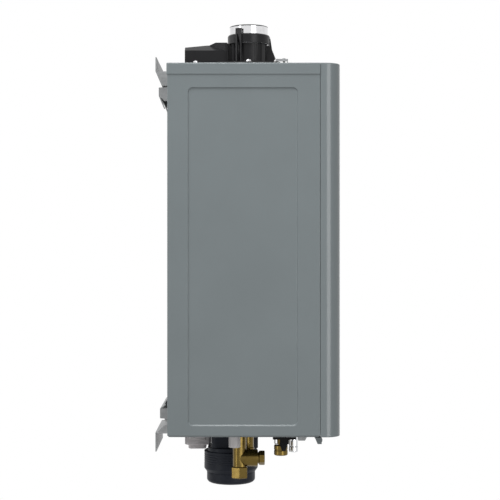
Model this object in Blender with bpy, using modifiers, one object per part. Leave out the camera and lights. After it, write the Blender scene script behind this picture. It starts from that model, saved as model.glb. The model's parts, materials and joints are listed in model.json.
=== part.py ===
"""A wall-hung condensing tankless water heater, modelled as an assembly of its separate pieces.

The front faces -Y, the wall is the plane Y = 0 and +Z is up. The origin is the centre of the back of the
upper wall flange. All lengths are in metres.
"""

import math

import bmesh
import bpy
from mathutils import Matrix, Vector

# Driving sizes of the case
CASE_HEIGHT = 0.6715
CASE_WIDTH = 0.470
SIDE_DEPTH = 0.2743
COVER_DEPTH = 0.0366
STAND_OFF = 0.031
HANG_DROP = 0.0165
SHEET = 0.0012
FIT = 0.0003
OVERRUN = 0.004

# Places that follow from the case
HALF_WIDTH = CASE_WIDTH / 2
CASE_TOP = -HANG_DROP
CASE_BOTTOM = CASE_TOP - CASE_HEIGHT
REAR_Y = -STAND_OFF
SEAM_Y = REAR_Y - SIDE_DEPTH
FRONT_Y = SEAM_Y - COVER_DEPTH
LEFT = -1
RIGHT = 1

# Bends and flanges of the case sheets
BEND = 0.0018
CAP_SKIRT = 0.0205
SIDE_RETURN = 0.0140
REAR_FLANGE = 0.0140
BOTTOM_SKIRT = 0.0180
BOTTOM_REVEAL = 0.0027
COVER_CORNER = 0.0275
COVER_BEND = 0.0030
RECESS_REAR = 0.0375
RECESS_FRONT = 0.0410
RECESS_TOP = 0.0450
RECESS_BOTTOM = 0.0215
RECESS_RADIUS = 0.0080
RECESS_DEPTH = 0.0018

# Lugs below the cover and their screws
LUG_BACK = 0.0100
LUG_AHEAD = 0.0026
LUG_DROP = 0.0120
LUG_FOOT = 0.0073
LUG_WIDTH = 0.0180
LUG_INSET = 0.0030
COVER_SCREW_RADIUS = 0.0034
COVER_SCREW_HEIGHT = 0.0016
COVER_SCREW_SHANK = 0.0018
COVER_SCREW_LENGTH = 0.0060
COVER_SCREW_FACE = 0.0024

# Wall brackets and hanger hooks, bent from plate
PLATE = 0.0020
BRACKET_WIDTH = 0.190
FLANGE_HEIGHT = 0.0270
SLOT_SPACING = 0.140
SLOT_WIDTH = 0.0070
SLOT_HEIGHT = 0.0140
UPPER_WEB_DROP = 0.0265
UPPER_WEB_OUT = 0.0115
BRACKET_FOOT = 0.0170
LOWER_WEB_DROP = 0.0100
LOWER_FLANGE_HEIGHT = 0.0363
LOWER_EAR_OUT = 0.0055
LOWER_EAR_FALL = 0.0022
LOWER_EAR_BACK = 0.0155
LOWER_EAR_RISE = 0.0126
LOWER_EAR_HEIGHT = 0.0189
LOWER_FOOT_RISE = 0.0250
HOOK_WIDTH = 0.186
HOOK_OUT = 0.0062
HOOK_TOP_DROP = 0.0275
HOOK_FACE = 0.0160
HOOK_LIP_FALL = 0.0234
HOOK_LIP_IN = 0.0096
HOOK_EAR_FALL = 0.0255
HOOK_EAR_IN = 0.0103
HOOK_RISE = 0.0035
HOOK_FOOT = 0.0150
HOOK_PRONG = 0.0140
LOWER_HOOK_OUT = 0.0086
LOWER_HOOK_RISE = 0.0165
LOWER_HOOK_FACE = 0.0187
LOWER_HOOK_FALL = 0.0076

# Control panel in the front cover
PANEL_WIDTH = 0.130
PANEL_HEIGHT = 0.060
PANEL_ABOVE = 0.170
PANEL_CORNER = 0.010
PANEL_PROUD = 0.0015
PANEL_LIP = 0.0040
PANEL_BODY = 0.0090
LENS_WIDTH = 0.046
LENS_HEIGHT = 0.022
LENS_SIDE = 0.030
LENS_CORNER = 0.0020
LENS_SEAT = 0.0035
BUTTON_RADIUS = 0.0045
BUTTON_CLEARANCE = 0.0005
BUTTON_PITCH = 0.0155
BUTTON_PROUD = 0.0012
BUTTON_FLANGE = 0.0012
BUTTON_FLANGE_HEIGHT = 0.0012
BUTTON_SIDE = 0.030
BUTTON_ROW_STEP = 0.0085
BUTTON_FACE = 0.0036
BUTTON_EDGE = 0.0005

# Flue group, measured from the middle of the flue and up from the case top
FLUE_Y = -0.177
GASKET = 0.0020
PLINTH_TOP = 0.0258
PLINTH_HALF_X = 0.0680
PLINTH_FRONT = 0.0610
PLINTH_REAR = 0.0600
PLINTH_CORNER = 0.0120
FLUE_RADIUS = 0.0360
FLUE_BORE = 0.0300
FLUE_FOOT_RADIUS = 0.0400
FLUE_FOOT_RISE = 0.0060
COLLAR_RADIUS = 0.0414
COLLAR_LOW = 0.0672
COLLAR_HIGH = 0.0848
COLLAR_ROUND = 0.0020
SLEEVE_RADIUS = 0.0373
SLEEVE_WALL = 0.0012
SLEEVE_TOP = 0.1020
SLEEVE_LOW = 0.0670
SLEEVE_BEAD = 0.0008
SLEEVE_BEAD_HEIGHT = 0.0030
SEAL_LIP = 0.0045
SEAL_HEIGHT = 0.0080
SEAL_DROP = 0.0120
SEAL_LIP_DROP = 0.0064
FIN_THICKNESS = 0.0060
FIN_FOOT = 0.0440
FIN_MID = 0.0458
FIN_MID_RISE = 0.0569
FIN_LOW = 0.0525
FIN_LOW_RISE = 0.0402
RIB_COUNT = 7
RIB_WIDTH = 0.0022
RIB_OUT = 0.0006
FLUE_WEB_SHY = 0.0001
LATCH_WIDTH = 0.0128
LATCH_THICKNESS = 0.0030
LATCH_TOP = 0.0945
LATCH_SLOT_NEAR = 0.0040
LATCH_SLOT_FAR = 0.0028
LATCH_SLOT_BEND = 0.0670
LATCH_SLOT_TIP = 0.0016
LATCH_SLOT_TOP = 0.0834
LATCH_NIB_HEIGHT = 0.0050
LATCH_ANGLE_DEGREES = 27
SCREW_HEAD_RADIUS = 0.0066
SCREW_HEAD_HEIGHT = 0.0056
SCREW_WASHER = 0.0014
SCREW_DOME_RADIUS = 0.0048
SCREW_SHANK = 0.0022
SCREW_DEPTH = 0.0120
FLUE_SCREW_X = 0.0590
CLIP_X = -0.0400
CLIP_WIDTH = 0.0180
CLIP_RISE = 0.0331
CLIP_NEAR = 0.0520
CLIP_FAR = 0.0756
CLIP_TOE = 0.0100
CLIP_LIP = 0.0042
CLIP_SCREW_OUT = 0.0681
CLIP_SCREW_RADIUS = 0.0045
CLIP_SCREW_HEIGHT = 0.0028

# Air intake duct beside the flue
DUCT_HALF_X = 0.0300
DUCT_REAR_Y = -0.0525
DUCT_FRONT_Y = -0.1350
DUCT_EAVE = 0.0522
DUCT_REAR_TOP = 0.0596
DUCT_REAR_HALF_X = 0.0170
DUCT_PEAK = 0.0652
DUCT_PEAK_HALF_X = 0.0070
DUCT_PEAK_Y = -0.0954
DUCT_WALL = 0.0025
DUCT_FLANGE = 0.0165
DUCT_FLANGE_FRONT = 0.0185
DUCT_NECK_HALF_X = 0.0280
DUCT_NECK_MID_HALF_X = 0.0164
DUCT_NECK_WIDE_Y = -0.1310
DUCT_NECK_MID_Y = -0.1120
DUCT_NECK_TOP = 0.0695
DUCT_NECK_SIDE_TOP = 0.0678
DUCT_NECK_SHY = 0.0012
DUCT_SCREW_X = 0.0383
DUCT_SCREW_Y = -0.0740

# Circulation pump, measured down from the case bottom
PUMP_Y = -0.142
PUMP_NECK_REAR = 0.0375
PUMP_NECK_FRONT = 0.0529
PUMP_NECK_HALF_X = 0.0400
PUMP_NECK_CORNER = 0.0090
PUMP_NECK_RISE = 0.0300
PUMP_NECK_DROP = 0.0486
PUMP_FLANGE_HALF_X = 0.0500
PUMP_FLANGE_HALF_Y = 0.0450
PUMP_FLANGE_CORNER = 0.0360
PUMP_FLANGE_DROP = 0.0555
PUMP_BODY_RADIUS = 0.0525
PUMP_BODY_ROUND = 0.0014
PUMP_STEP_DROP = 0.0908
PUMP_CAP_RADIUS = 0.0472
PUMP_CAP_DROP = 0.0985
PUMP_CAP_STRAIGHT = 0.0130
PUMP_END_DROP = 0.1225
PUMP_END_RADIUS = 0.0370
PUMP_END_SAG = 0.0030
GROOVE_COUNT = 5
GROOVE_PITCH = 0.0044
GROOVE_DEPTH = 0.0003
GROOVE_START = 0.0040
PUMP_SEAM_WIDTH = 0.0014
PUMP_SEAM_DEPTH = 0.0012
PUMP_SEAM_Y = 0.0087
PUMP_PORT_RADIUS = 0.0100
PUMP_CHAMBER_RADIUS = 0.0300
PUMP_CHAMBER_HEIGHT = 0.0160
IMPELLER_RADIUS = 0.0270
IMPELLER_DISC = 0.0030
IMPELLER_VANE_HEIGHT = 0.0070
IMPELLER_VANE_WIDTH = 0.0022
IMPELLER_VANES = 6
IMPELLER_EYE = 0.0080
IMPELLER_HUB = 0.0064
IMPELLER_RUN = 0.0020
PUMP_SHAFT_RADIUS = 0.0040
PUMP_SHAFT_DEPTH = 0.0140
PUMP_SHAFT_CLEARANCE = 0.0004
PUMP_SHAFT_HOLE = 0.0160

# Brass fittings under the case
TEE_X = -0.120
TEE_Y = -0.1597
TEE_RADIUS = 0.0128
TEE_BORE = 0.0090
TEE_RISE = 0.0150
TEE_HEX_TOP = 0.0700
TEE_HEX_LOW = 0.0916
TEE_HEX_RADIUS = 0.0166
TEE_HEX_CHAMFER = 0.0012
BRANCH_DROP = 0.0540
BRANCH_RADIUS = 0.0161
BRANCH_END_Y = -0.1942
BRANCH_CONE = 0.0100
BRANCH_ROOT = 0.0124
BRANCH_BORE = 0.0100
BRANCH_DEPTH = 0.0180
STRAINER_RADIUS = 0.0136
STRAINER_SEAT = 0.0019
STRAINER_SEAT_RADIUS = 0.0112
STRAINER_END_Y = -0.2070
STRAINER_PLUG_RADIUS = 0.0092
STRAINER_PLUG_LENGTH = 0.0120
OUTLET_X = -0.0750
OUTLET_Y = -0.1740
OUTLET_RADIUS = 0.0124
OUTLET_BORE = 0.0090
OUTLET_DROP = 0.0460
OUTLET_RISE = 0.0200
OUTLET_BEAD = 0.0010
OUTLET_BEAD_WIDTH = 0.0060

# Plastic fittings, gas inlet and drain plug under the case
SPIGOT_X = -0.150
SPIGOT_Y = -0.1506
SPIGOT_RADIUS = 0.0090
SPIGOT_COLLAR = 0.0109
SPIGOT_BORE = 0.0060
SPIGOT_EDGE = 0.0010
SPIGOT_DROP = 0.0300
TRAP_X = 0.0650
TRAP_HALF_X = 0.0300
TRAP_REAR_Y = -0.0494
TRAP_FRONT_Y = -0.1020
TRAP_DROP = 0.0523
TRAP_LOWER_DROP = 0.0612
TRAP_LOWER_REAR = 0.0068
TRAP_LOWER_FRONT = 0.0100
TRAP_CORNER = 0.0060
TRAP_PAD = 0.0012
TRAP_PAD_INSET = 0.0110
TRAP_PAD_TOP = 0.0180
TRAP_PAD_LOW = 0.0420
TRAP_SPOUT_RADIUS = 0.0090
TRAP_SPOUT_RISE = 0.0160
GAS_X = -0.150
GAS_Y = -0.2366
GROMMET_REAR = 0.0151
GROMMET_FRONT = 0.0279
GROMMET_HALF_X = 0.0150
GROMMET_DROP = 0.0137
BOSS_Y = -0.2424
BOSS_RADIUS = 0.0090
BOSS_DROP = 0.0240
TONGUE_NEAR_X = 0.0156
TONGUE_THICKNESS = 0.0024
TONGUE_DROP = 0.0347
TONGUE_TOP_HALF = 0.0070
TONGUE_LOW_HALF = 0.0030
GAS_BORE = 0.0078
GAS_NUT_RADIUS = 0.0127
GAS_NUT_TOP = 0.0246
GAS_NUT_LOW = 0.0443
GAS_NUT_ROUND = 0.0015
J_TUBE_RADIUS = 0.0013
J_TUBE_REAR = 0.0115
J_TUBE_DROP = 0.0215
J_TUBE_TOE = 0.0060
PLUG_X = -0.120
PLUG_Y = -0.2608
PLUG_RADIUS = 0.0085
PLUG_DROP = 0.0428
PLUG_NECK = 0.0060
PLUG_ROUND = 0.0020
CABLE_CLIP_X = -0.200
CABLE_CLIP_REAR_Y = -0.2678
CABLE_CLIP_LENGTH = 0.0144
CABLE_CLIP_DROP = 0.0080
CABLE_CLIP_WIDTH = 0.0200
CABLE_CLIP_SLANT = 0.0040

# Heat exchangers, burner and blower inside the case, measured down from the case top
HX_HALF_X = 0.125
HX_REAR_Y = -0.0600
HX_FRONT_Y = -0.2900
HX_TOP = 0.0400
HX_LOW = 0.1250
HX_EDGE = 0.0040
EXHAUST_WALL = 0.0012
EXHAUST_REACH = 0.0080
HX_BRACKET_WIDTH = 0.0600
HX_BRACKET_LIP = 0.0200
CORE_HALF_X = 0.1000
CORE_REAR_Y = -0.0850
CORE_FRONT_Y = -0.2650
CORE_HEIGHT = 0.0800
CORE_BASE = 0.0120
FIN_SLOT = 0.0080
FIN_PITCH = 0.0170
CORE_FIN_SLOTS = 10
CORE_FIN_DEPTH = 0.0600
BEND_COUNT = 3
BEND_TUBE_RADIUS = 0.0070
BEND_RADIUS = 0.0140
BEND_PITCH = 0.0560
BURNER_HEIGHT = 0.1000
BURNER_EDGE = 0.0030
SIGHT_RADIUS = 0.0120
SIGHT_DEPTH = 0.0020
MANIFOLD_RADIUS = 0.0080
MANIFOLD_HALF_X = 0.0850
MANIFOLD_OUT = 0.0160
MANIFOLD_DROP = 0.0650
NOZZLE_COUNT = 6
NOZZLE_RADIUS = 0.0040
NOZZLE_PITCH = 0.0240
IGNITER_X = 0.0500
IGNITER_DROP = 0.0250
IGNITER_RADIUS = 0.0055
IGNITER_OUT = 0.0192
IGNITER_IN = 0.0128
IGNITER_FLANGE = 0.0110
IGNITER_FLANGE_THICKNESS = 0.0020
BLOWER_Y = -0.1750
BLOWER_RADIUS = 0.0580
BLOWER_HALF_X = 0.0280
BLOWER_DROP = 0.0800
BLOWER_WALL = 0.0020
BLOWER_OUTLET_WIDTH = 0.0400
BLOWER_INLET_RADIUS = 0.0280
WHEEL_RADIUS = 0.0480
WHEEL_RING = 0.0110
WHEEL_HALF_X = 0.0200
WHEEL_PLATE = 0.0030
WHEEL_SLOTS = 12
WHEEL_SLOT_WIDTH = 0.0105
WHEEL_RIM = 0.0040
WHEEL_HUB_RADIUS = 0.0100
WHEEL_HUB_LENGTH = 0.0100
WHEEL_BORE = 0.0034
MOTOR_SHAFT = 0.0030
BLOWER_MOTOR_RADIUS = 0.0330
BLOWER_MOTOR_LENGTH = 0.0450
BLOWER_MOTOR_ROUND = 0.0040

# Gas valve, water pipes, flow sensor, drain hose and control box
VALVE_RISE = 0.0900
VALVE_HALF_X = 0.0240
VALVE_HALF_Y = 0.0240
VALVE_HEIGHT = 0.0560
VALVE_EDGE = 0.0030
SOLENOID_RADIUS = 0.0110
SOLENOID_LENGTH = 0.0180
SOLENOID_SPACING = 0.0240
GAS_PIPE_RADIUS = 0.0070
PIPE_RADIUS = 0.0080
PIPE_BEND = 0.0240
FEED_BEND = 0.0168
HOT_BEND = 0.0216
RISER_SIDE = 0.0384
RISER_STEP = 0.0480
HOT_SIDE = 0.0336
HOT_LEVEL = 0.0480
HOSE_RUN = 0.2400
HOSE_END = 0.0720
SENSOR_RISE = 0.0450
SENSOR_LENGTH = 0.0600
SENSOR_RADIUS = 0.0150
SENSOR_BORE = 0.0110
SENSOR_HEAD = 0.0180
SENSOR_HEAD_OUT = 0.0100
TURBINE_RADIUS = 0.0096
TURBINE_HUB = 0.0036
TURBINE_LENGTH = 0.0140
TURBINE_BLADES = 5
TURBINE_BLADE = 0.0014
TURBINE_TWIST_DEGREES = 28
TURBINE_ROOT = 0.0025
TURBINE_HALF_CHORD = 0.0063
PIPE_COLLAR = 0.0040
HOSE_RADIUS = 0.0070
HOSE_SIDE = 0.0400
BOX_HALF_X = 0.0300
BOX_Y = -0.2300
BOX_HALF_Y = 0.0450
BOX_LOW = 0.1400
BOX_HIGH = 0.3000
BOX_EDGE = 0.0030
BOX_RIB = 0.0030
BOX_RIB_COUNT = 6
BOX_RIB_PITCH = 0.0220

# A screw head's dome as shares of its radius and of its washer's thickness, and the washer's rim
DOME_SHARES = ((0.6, 0.3), (0.9, 1.0))
WASHER_RIM_SHARE = 0.7

# How far an impeller vane sweeps back
VANE_SWEEP_DEGREES = 55

ROUND_STEPS = 24
MEDIUM_STEPS = 16
SMALL_STEPS = 12
NOZZLE_STEPS = 8
ARC_STEPS = 4
SHARP_DEGREES = 32

# How each plane's flat outline stands: its own x, y and thickness as columns
PLANES = {
    "XY": Matrix.Identity(3),
    "YZ": Matrix(((0, 0, 1), (1, 0, 0), (0, 1, 0))),
    "XZ": Matrix(((1, 0, 0), (0, 0, -1), (0, 1, 0))),
}

# How a turned shape's own Z axis is laid along another axis
AXES = {
    "Z": Matrix.Identity(3),
    "X": Matrix(((0, 0, 1), (0, 1, 0), (-1, 0, 0))),
    "Y": Matrix(((1, 0, 0), (0, 0, 1), (0, -1, 0))),
    "-Y": Matrix(((1, 0, 0), (0, 0, -1), (0, 1, 0))),
}

# Colour, roughness and metallic value of each material
FINISHES = {
    "case_paint": ((0.19, 0.22, 0.23), 0.45, 0.0),
    "galvanised_steel": ((0.55, 0.57, 0.58), 0.45, 0.9),
    "zinc_screw": ((0.75, 0.76, 0.78), 0.3, 1.0),
    "black_plastic": ((0.03, 0.03, 0.032), 0.5, 0.0),
    "polished_steel": ((0.8, 0.8, 0.82), 0.12, 1.0),
    "black_rubber": ((0.02, 0.02, 0.022), 0.8, 0.0),
    "pump_plastic": ((0.06, 0.075, 0.1), 0.6, 0.0),
    "brass": ((0.6, 0.46, 0.17), 0.3, 1.0),
    "pale_plastic": ((0.72, 0.68, 0.68), 0.5, 0.0),
    "white_plastic": ((0.85, 0.85, 0.84), 0.4, 0.0),
    "chrome": ((0.85, 0.86, 0.88), 0.08, 1.0),
    "copper": ((0.7, 0.36, 0.22), 0.3, 1.0),
    "stainless_steel": ((0.6, 0.6, 0.62), 0.3, 1.0),
    "cast_aluminium": ((0.5, 0.5, 0.52), 0.5, 1.0),
    "display_lens": ((0.01, 0.012, 0.015), 0.1, 0.0),
    "button_plastic": ((0.35, 0.37, 0.38), 0.45, 0.0),
}


def clear_scene():
    """Remove whatever the scene holds."""
    for item in list(bpy.data.objects):
        bpy.data.objects.remove(item, do_unlink=True)


def new_group(name):
    """A collection linked to the scene."""
    group = bpy.data.collections.new(name)
    bpy.context.scene.collection.children.link(group)
    return group


clear_scene()
PARTS = new_group("tankless_water_heater")
TOOLS = new_group("shaping_tools")


def material(name):
    """The named finish as a material, made once."""
    found = bpy.data.materials.get(name)
    if found:
        return found
    colour, roughness, metallic = FINISHES[name]
    made = bpy.data.materials.new(name)
    made.use_nodes = True
    shader = made.node_tree.nodes["Principled BSDF"]
    shader.inputs["Base Color"].default_value = (*colour, 1)
    shader.inputs["Roughness"].default_value = roughness
    shader.inputs["Metallic"].default_value = metallic
    return made


def stand(mesh, name, location=(0, 0, 0), turn=None, finish=None):
    """An object for a mesh: a part with its finish, or a hidden shaping tool without one."""
    item = bpy.data.objects.new(name, mesh)
    place = Matrix.Translation(location)
    if turn:
        place = place @ turn.to_4x4()
    item.matrix_world = place
    if finish:
        PARTS.objects.link(item)
        item.data.materials.clear()
        item.data.materials.append(material(finish))
    else:
        TOOLS.objects.link(item)
        item.hide_render = True
        item.display_type = "WIRE"
    return item


def smooth(item):
    """Round faces shaded smooth, with sharp edges kept."""
    item.data.shade_smooth()
    item.data.set_sharp_from_angle(angle=math.radians(SHARP_DEGREES))
    return item


def box(name, low, high, finish=None, top_inset=(0, 0)):
    """A block between two corners, its top drawn in on each side by top_inset."""
    centre = [(a + b) / 2 for a, b in zip(low, high)]
    size = [b - a for a, b in zip(low, high)]
    shape = bmesh.new()
    bmesh.ops.create_cube(shape, size=1)
    bmesh.ops.scale(shape, vec=size, verts=shape.verts)
    for vert in shape.verts:
        if vert.co.z > 0:
            vert.co.x -= math.copysign(top_inset[0], vert.co.x)
            vert.co.y -= math.copysign(top_inset[1], vert.co.y)
    mesh = bpy.data.meshes.new(name)
    shape.to_mesh(mesh)
    shape.free()
    return stand(mesh, name, centre, None, finish)


def hull_solid(name, points, finish=None):
    """The convex solid through a set of corner points."""
    shape = bmesh.new()
    for point in points:
        shape.verts.new(point)
    bmesh.ops.convex_hull(shape, input=shape.verts)
    bmesh.ops.recalc_face_normals(shape, faces=shape.faces)
    mesh = bpy.data.meshes.new(name)
    shape.to_mesh(mesh)
    shape.free()
    return stand(mesh, name, (0, 0, 0), None, finish)


def pan(name, low, high, open_sides, thickness, bend, finish):
    """A sheet tray: a block's faces with some left out, bent at its edges and made thick inward."""
    item = box(name, low, high, finish)
    shape = bmesh.new()
    shape.from_mesh(item.data)
    gone = [face for face in shape.faces if any(face.normal.dot(Vector(side)) > 0.9 for side in open_sides)]
    bmesh.ops.delete(shape, geom=gone, context="FACES")
    shape.to_mesh(item.data)
    shape.free()
    round_edges(item, bend)
    thicken(item, thickness)
    return smooth(item)


def round_edges(item, width, segments=2, degrees=40):
    """A bevel along the edges sharper than an angle."""
    bevel = item.modifiers.new("rounded edges", "BEVEL")
    bevel.width = width
    bevel.segments = segments
    bevel.limit_method = "ANGLE"
    bevel.angle_limit = math.radians(degrees)
    return item


def thicken(item, thickness, inward=True):
    """An open surface given its sheet thickness."""
    solid = item.modifiers.new("sheet thickness", "SOLIDIFY")
    solid.thickness = thickness
    solid.offset = -1 if inward else 1
    solid.use_even_offset = True
    return item


def cylinder(name, radius, length, centre, axis="Z", finish=None, steps=ROUND_STEPS):
    """A round bar centred on a point."""
    shape = bmesh.new()
    bmesh.ops.create_cone(
        shape, cap_ends=True, segments=steps, radius1=radius, radius2=radius, depth=length
    )
    mesh = bpy.data.meshes.new(name)
    shape.to_mesh(mesh)
    shape.free()
    return smooth(stand(mesh, name, centre, AXES[axis], finish))


def turned(name, profile, location, axis="Z", finish=None, steps=ROUND_STEPS, ring=False):
    """A shape of revolution from radius and height points, top to bottom down its outer side."""
    mesh = bpy.data.meshes.new(name)
    points = [(radius, 0, height) for radius, height in profile]
    edges = [(i, i + 1) for i in range(len(points) - 1)]
    if ring:
        edges.append((len(points) - 1, 0))
    mesh.from_pydata(points, edges, [])
    item = stand(mesh, name, location, AXES[axis], finish)
    screw = item.modifiers.new("turning", "SCREW")
    screw.axis = "Z"
    screw.angle = 2 * math.pi
    screw.steps = steps
    screw.render_steps = steps
    screw.use_merge_vertices = True
    screw.merge_threshold = FIT / 30
    screw.use_smooth_shade = True
    return item


def mesh_of(curve_item):
    """The closed mesh that a curve object makes, its caps welded; the curve is removed."""
    bpy.context.view_layer.update()
    depsgraph = bpy.context.evaluated_depsgraph_get()
    mesh = bpy.data.meshes.new_from_object(curve_item.evaluated_get(depsgraph))
    bpy.data.objects.remove(curve_item, do_unlink=True)
    shape = bmesh.new()
    shape.from_mesh(mesh)
    bmesh.ops.remove_doubles(shape, verts=shape.verts, dist=FIT / 30)
    bmesh.ops.dissolve_limit(
        shape, angle_limit=math.radians(0.5), verts=shape.verts, edges=shape.edges
    )
    bmesh.ops.recalc_face_normals(shape, faces=shape.faces)
    shape.to_mesh(mesh)
    shape.free()
    return mesh


def add_spline(curve, points, closed):
    """A straight-segment spline through points of two or three coordinates."""
    spline = curve.splines.new("POLY")
    spline.points.add(len(points) - 1)
    for slot, point in zip(spline.points, points):
        x, y, z = (*point, 0)[:3]
        slot.co = (x, y, z, 1)
    spline.use_cyclic_u = closed


def plate(name, outline, thickness, location, plane="XY", finish=None, holes=(), chamfer=0):
    """A flat piece from an outline and its holes, centred on its plane, with chamfered rims if asked."""
    curve = bpy.data.curves.new(name, "CURVE")
    curve.dimensions = "2D"
    curve.fill_mode = "BOTH"
    curve.extrude = thickness / 2 - chamfer
    curve.bevel_depth = chamfer
    curve.bevel_resolution = 0
    curve.offset = -chamfer
    for loop in (outline, *holes):
        add_spline(curve, loop, closed=True)
    guide = bpy.data.objects.new(name, curve)
    TOOLS.objects.link(guide)
    return smooth(stand(mesh_of(guide), name, location, PLANES[plane], finish))


def tube(name, route, radius, finish=None, sides=2):
    """A round tube or rod along a route."""
    curve = bpy.data.curves.new(name, "CURVE")
    curve.dimensions = "3D"
    curve.bevel_depth = radius
    curve.bevel_resolution = sides
    curve.use_fill_caps = True
    add_spline(curve, route, closed=False)
    guide = bpy.data.objects.new(name, curve)
    TOOLS.objects.link(guide)
    return smooth(stand(mesh_of(guide), name, (0, 0, 0), None, finish))


def rounded_route(corners, radius, steps=ARC_STEPS):
    """A route through corner points with each inner corner rounded to a radius."""
    points = [Vector(corner) for corner in corners]
    route = [points[0]]
    for before, corner, after in zip(points, points[1:], points[2:]):
        back = (before - corner).normalized()
        ahead = (after - corner).normalized()
        half = back.angle(ahead) / 2
        setback = radius / math.tan(half)
        centre = corner + (back + ahead).normalized() * radius / math.sin(half)
        start = corner + back * setback - centre
        end = corner + ahead * setback - centre
        swing = start.angle(end)
        normal = start.cross(end).normalized()
        for step in range(steps + 1):
            turn = Matrix.Rotation(swing * step / steps, 3, normal)
            route.append(centre + turn @ start)
    route.append(points[-1])
    return [tuple(point) for point in route]


def arc(centre, radius, start, end, steps=ARC_STEPS):
    """Points on an arc between two angles in degrees, both ends kept."""
    angles = [math.radians(start + (end - start) * step / steps) for step in range(steps + 1)]
    return [(centre[0] + radius * math.cos(a), centre[1] + radius * math.sin(a)) for a in angles]


def rounded_rectangle(low, high, radius, steps=ARC_STEPS):
    """The outline of a rectangle with round corners."""
    left, bottom = (edge + radius for edge in low)
    right, top = (edge - radius for edge in high)
    corners = [(right, top), (left, top), (left, bottom), (right, bottom)]
    points = []
    for index, corner in enumerate(corners):
        points += arc(corner, radius, 90 * index, 90 * index + 90, steps)
    return points


def circle(centre, radius, steps=ROUND_STEPS):
    """The outline of a circle."""
    return arc(centre, radius, 0, 360, steps)[:-1]


def bent_sheet(name, path, thickness, span, finish=None, upright=False, inward=True):
    """A sheet bent along a path and given its thickness.

    The path is in Y and Z and spans X, or is in X and Y and spans Z when upright.
    """
    low, high = span
    shape = bmesh.new()
    corners = []
    for first, second in path:
        corners.append((first, second, low) if upright else (low, first, second))
    verts = [shape.verts.new(corner) for corner in corners]
    edges = [shape.edges.new(pair) for pair in zip(verts, verts[1:])]
    wide = bmesh.ops.extrude_edge_only(shape, edges=edges)
    moved = [item for item in wide["geom"] if isinstance(item, bmesh.types.BMVert)]
    step = (0, 0, high - low) if upright else (high - low, 0, 0)
    bmesh.ops.translate(shape, vec=step, verts=moved)
    mesh = bpy.data.meshes.new(name)
    shape.to_mesh(mesh)
    shape.free()
    return thicken(stand(mesh, name, (0, 0, 0), None, finish), thickness, inward)


def boolean(item, tool, operation):
    """A Boolean of one object with a hidden tool."""
    modifier = item.modifiers.new(operation.lower(), "BOOLEAN")
    modifier.operation = operation
    modifier.solver = "EXACT"
    modifier.object = tool
    return item


def cut(item, *tools):
    """Take each tool's shape out of a piece."""
    for tool in tools:
        boolean(item, tool, "DIFFERENCE")
    return item


def fuse(item, *tools):
    """Add each tool's shape to a piece."""
    for tool in tools:
        boolean(item, tool, "UNION")
    return item


def gather(name, tools):
    """Several shaping tools that don't meet, as one tool."""
    shape = bmesh.new()
    for tool in tools:
        copy = tool.data.copy()
        copy.transform(tool.matrix_world)
        shape.from_mesh(copy)
        bpy.data.meshes.remove(copy)
        bpy.data.objects.remove(tool, do_unlink=True)
    mesh = bpy.data.meshes.new(name)
    shape.to_mesh(mesh)
    shape.free()
    return stand(mesh, name)


def round_hole(name, radius, x, y, low, high, steps=ROUND_STEPS):
    """An upright round cutter that reaches past both ends."""
    length = high - low + 2 * OVERRUN
    return cylinder(name, radius, length, (x, y, (low + high) / 2), "Z", None, steps)


def pan_head_screw(name, place, head_radius, head_height, finish="zinc_screw"):
    """A screw with a washer head that stands on a seat, its shank going down."""
    washer = head_height * SCREW_WASHER / SCREW_HEAD_HEIGHT
    dome = head_radius * SCREW_DOME_RADIUS / SCREW_HEAD_RADIUS
    profile = [(0, head_height)]
    profile += [(dome * share, head_height - washer * drop) for share, drop in DOME_SHARES]
    profile += [
        (dome, washer),
        (head_radius, washer * WASHER_RIM_SHARE),
        (head_radius, FIT),
        (SCREW_SHANK, FIT),
        (SCREW_SHANK, -SCREW_DEPTH),
        (0, -SCREW_DEPTH),
    ]
    return turned(name, profile, place, "Z", finish, SMALL_STEPS)


def screw_hole(name, x, y, seat):
    """The hole that a washer-head screw's shank goes into."""
    depth = SCREW_DEPTH + OVERRUN
    middle = (x, y, seat - (depth - OVERRUN) / 2)
    return cylinder(name, SCREW_SHANK + FIT, depth + OVERRUN, middle, "Z", None, SMALL_STEPS)


# Case


def rear_panel():
    """The back sheet with its side flanges turned forward."""
    inner = HALF_WIDTH - SHEET - FIT
    path = [
        (-inner, REAR_Y - REAR_FLANGE),
        (-inner, REAR_Y),
        (inner, REAR_Y),
        (inner, REAR_Y - REAR_FLANGE),
    ]
    span = (CASE_BOTTOM + BOTTOM_REVEAL, CASE_TOP - BEND - FIT)
    return bent_sheet("rear_panel", path, SHEET, span, "case_paint", upright=True, inward=True)


def side_panel(name, side):
    """A side sheet with its front return and the stamped recess."""
    outer = side * HALF_WIDTH
    front = SEAM_Y + FIT
    path = [(outer - side * SIDE_RETURN, front), (outer, front), (outer, REAR_Y)]
    low = CASE_BOTTOM + BOTTOM_REVEAL
    high = CASE_TOP - BEND - FIT
    panel = bent_sheet(name, path, SHEET, (low, high), "case_paint", upright=True, inward=side < 0)
    corner = (SEAM_Y + RECESS_FRONT, CASE_BOTTOM + RECESS_BOTTOM)
    far_corner = (REAR_Y - RECESS_REAR, CASE_TOP - RECESS_TOP)
    inner = rounded_rectangle(corner, far_corner, RECESS_RADIUS)
    wide_corner = [edge - SHEET for edge in corner]
    wide_far = [edge + SHEET for edge in far_corner]
    wide = rounded_rectangle(wide_corner, wide_far, RECESS_RADIUS + SHEET)
    tray_depth = RECESS_DEPTH + SHEET / 2
    tray_x = outer - side * (SHEET / 2 + tray_depth / 2)
    tray = plate(name + "_tray", wide, tray_depth, (tray_x, 0, 0), "YZ")
    pocket_depth = 2 * RECESS_DEPTH
    pocket = plate(name + "_pocket", inner, pocket_depth, (outer, 0, 0), "YZ", None, (), RECESS_DEPTH)
    fuse(panel, tray)
    return cut(panel, pocket)


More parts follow.
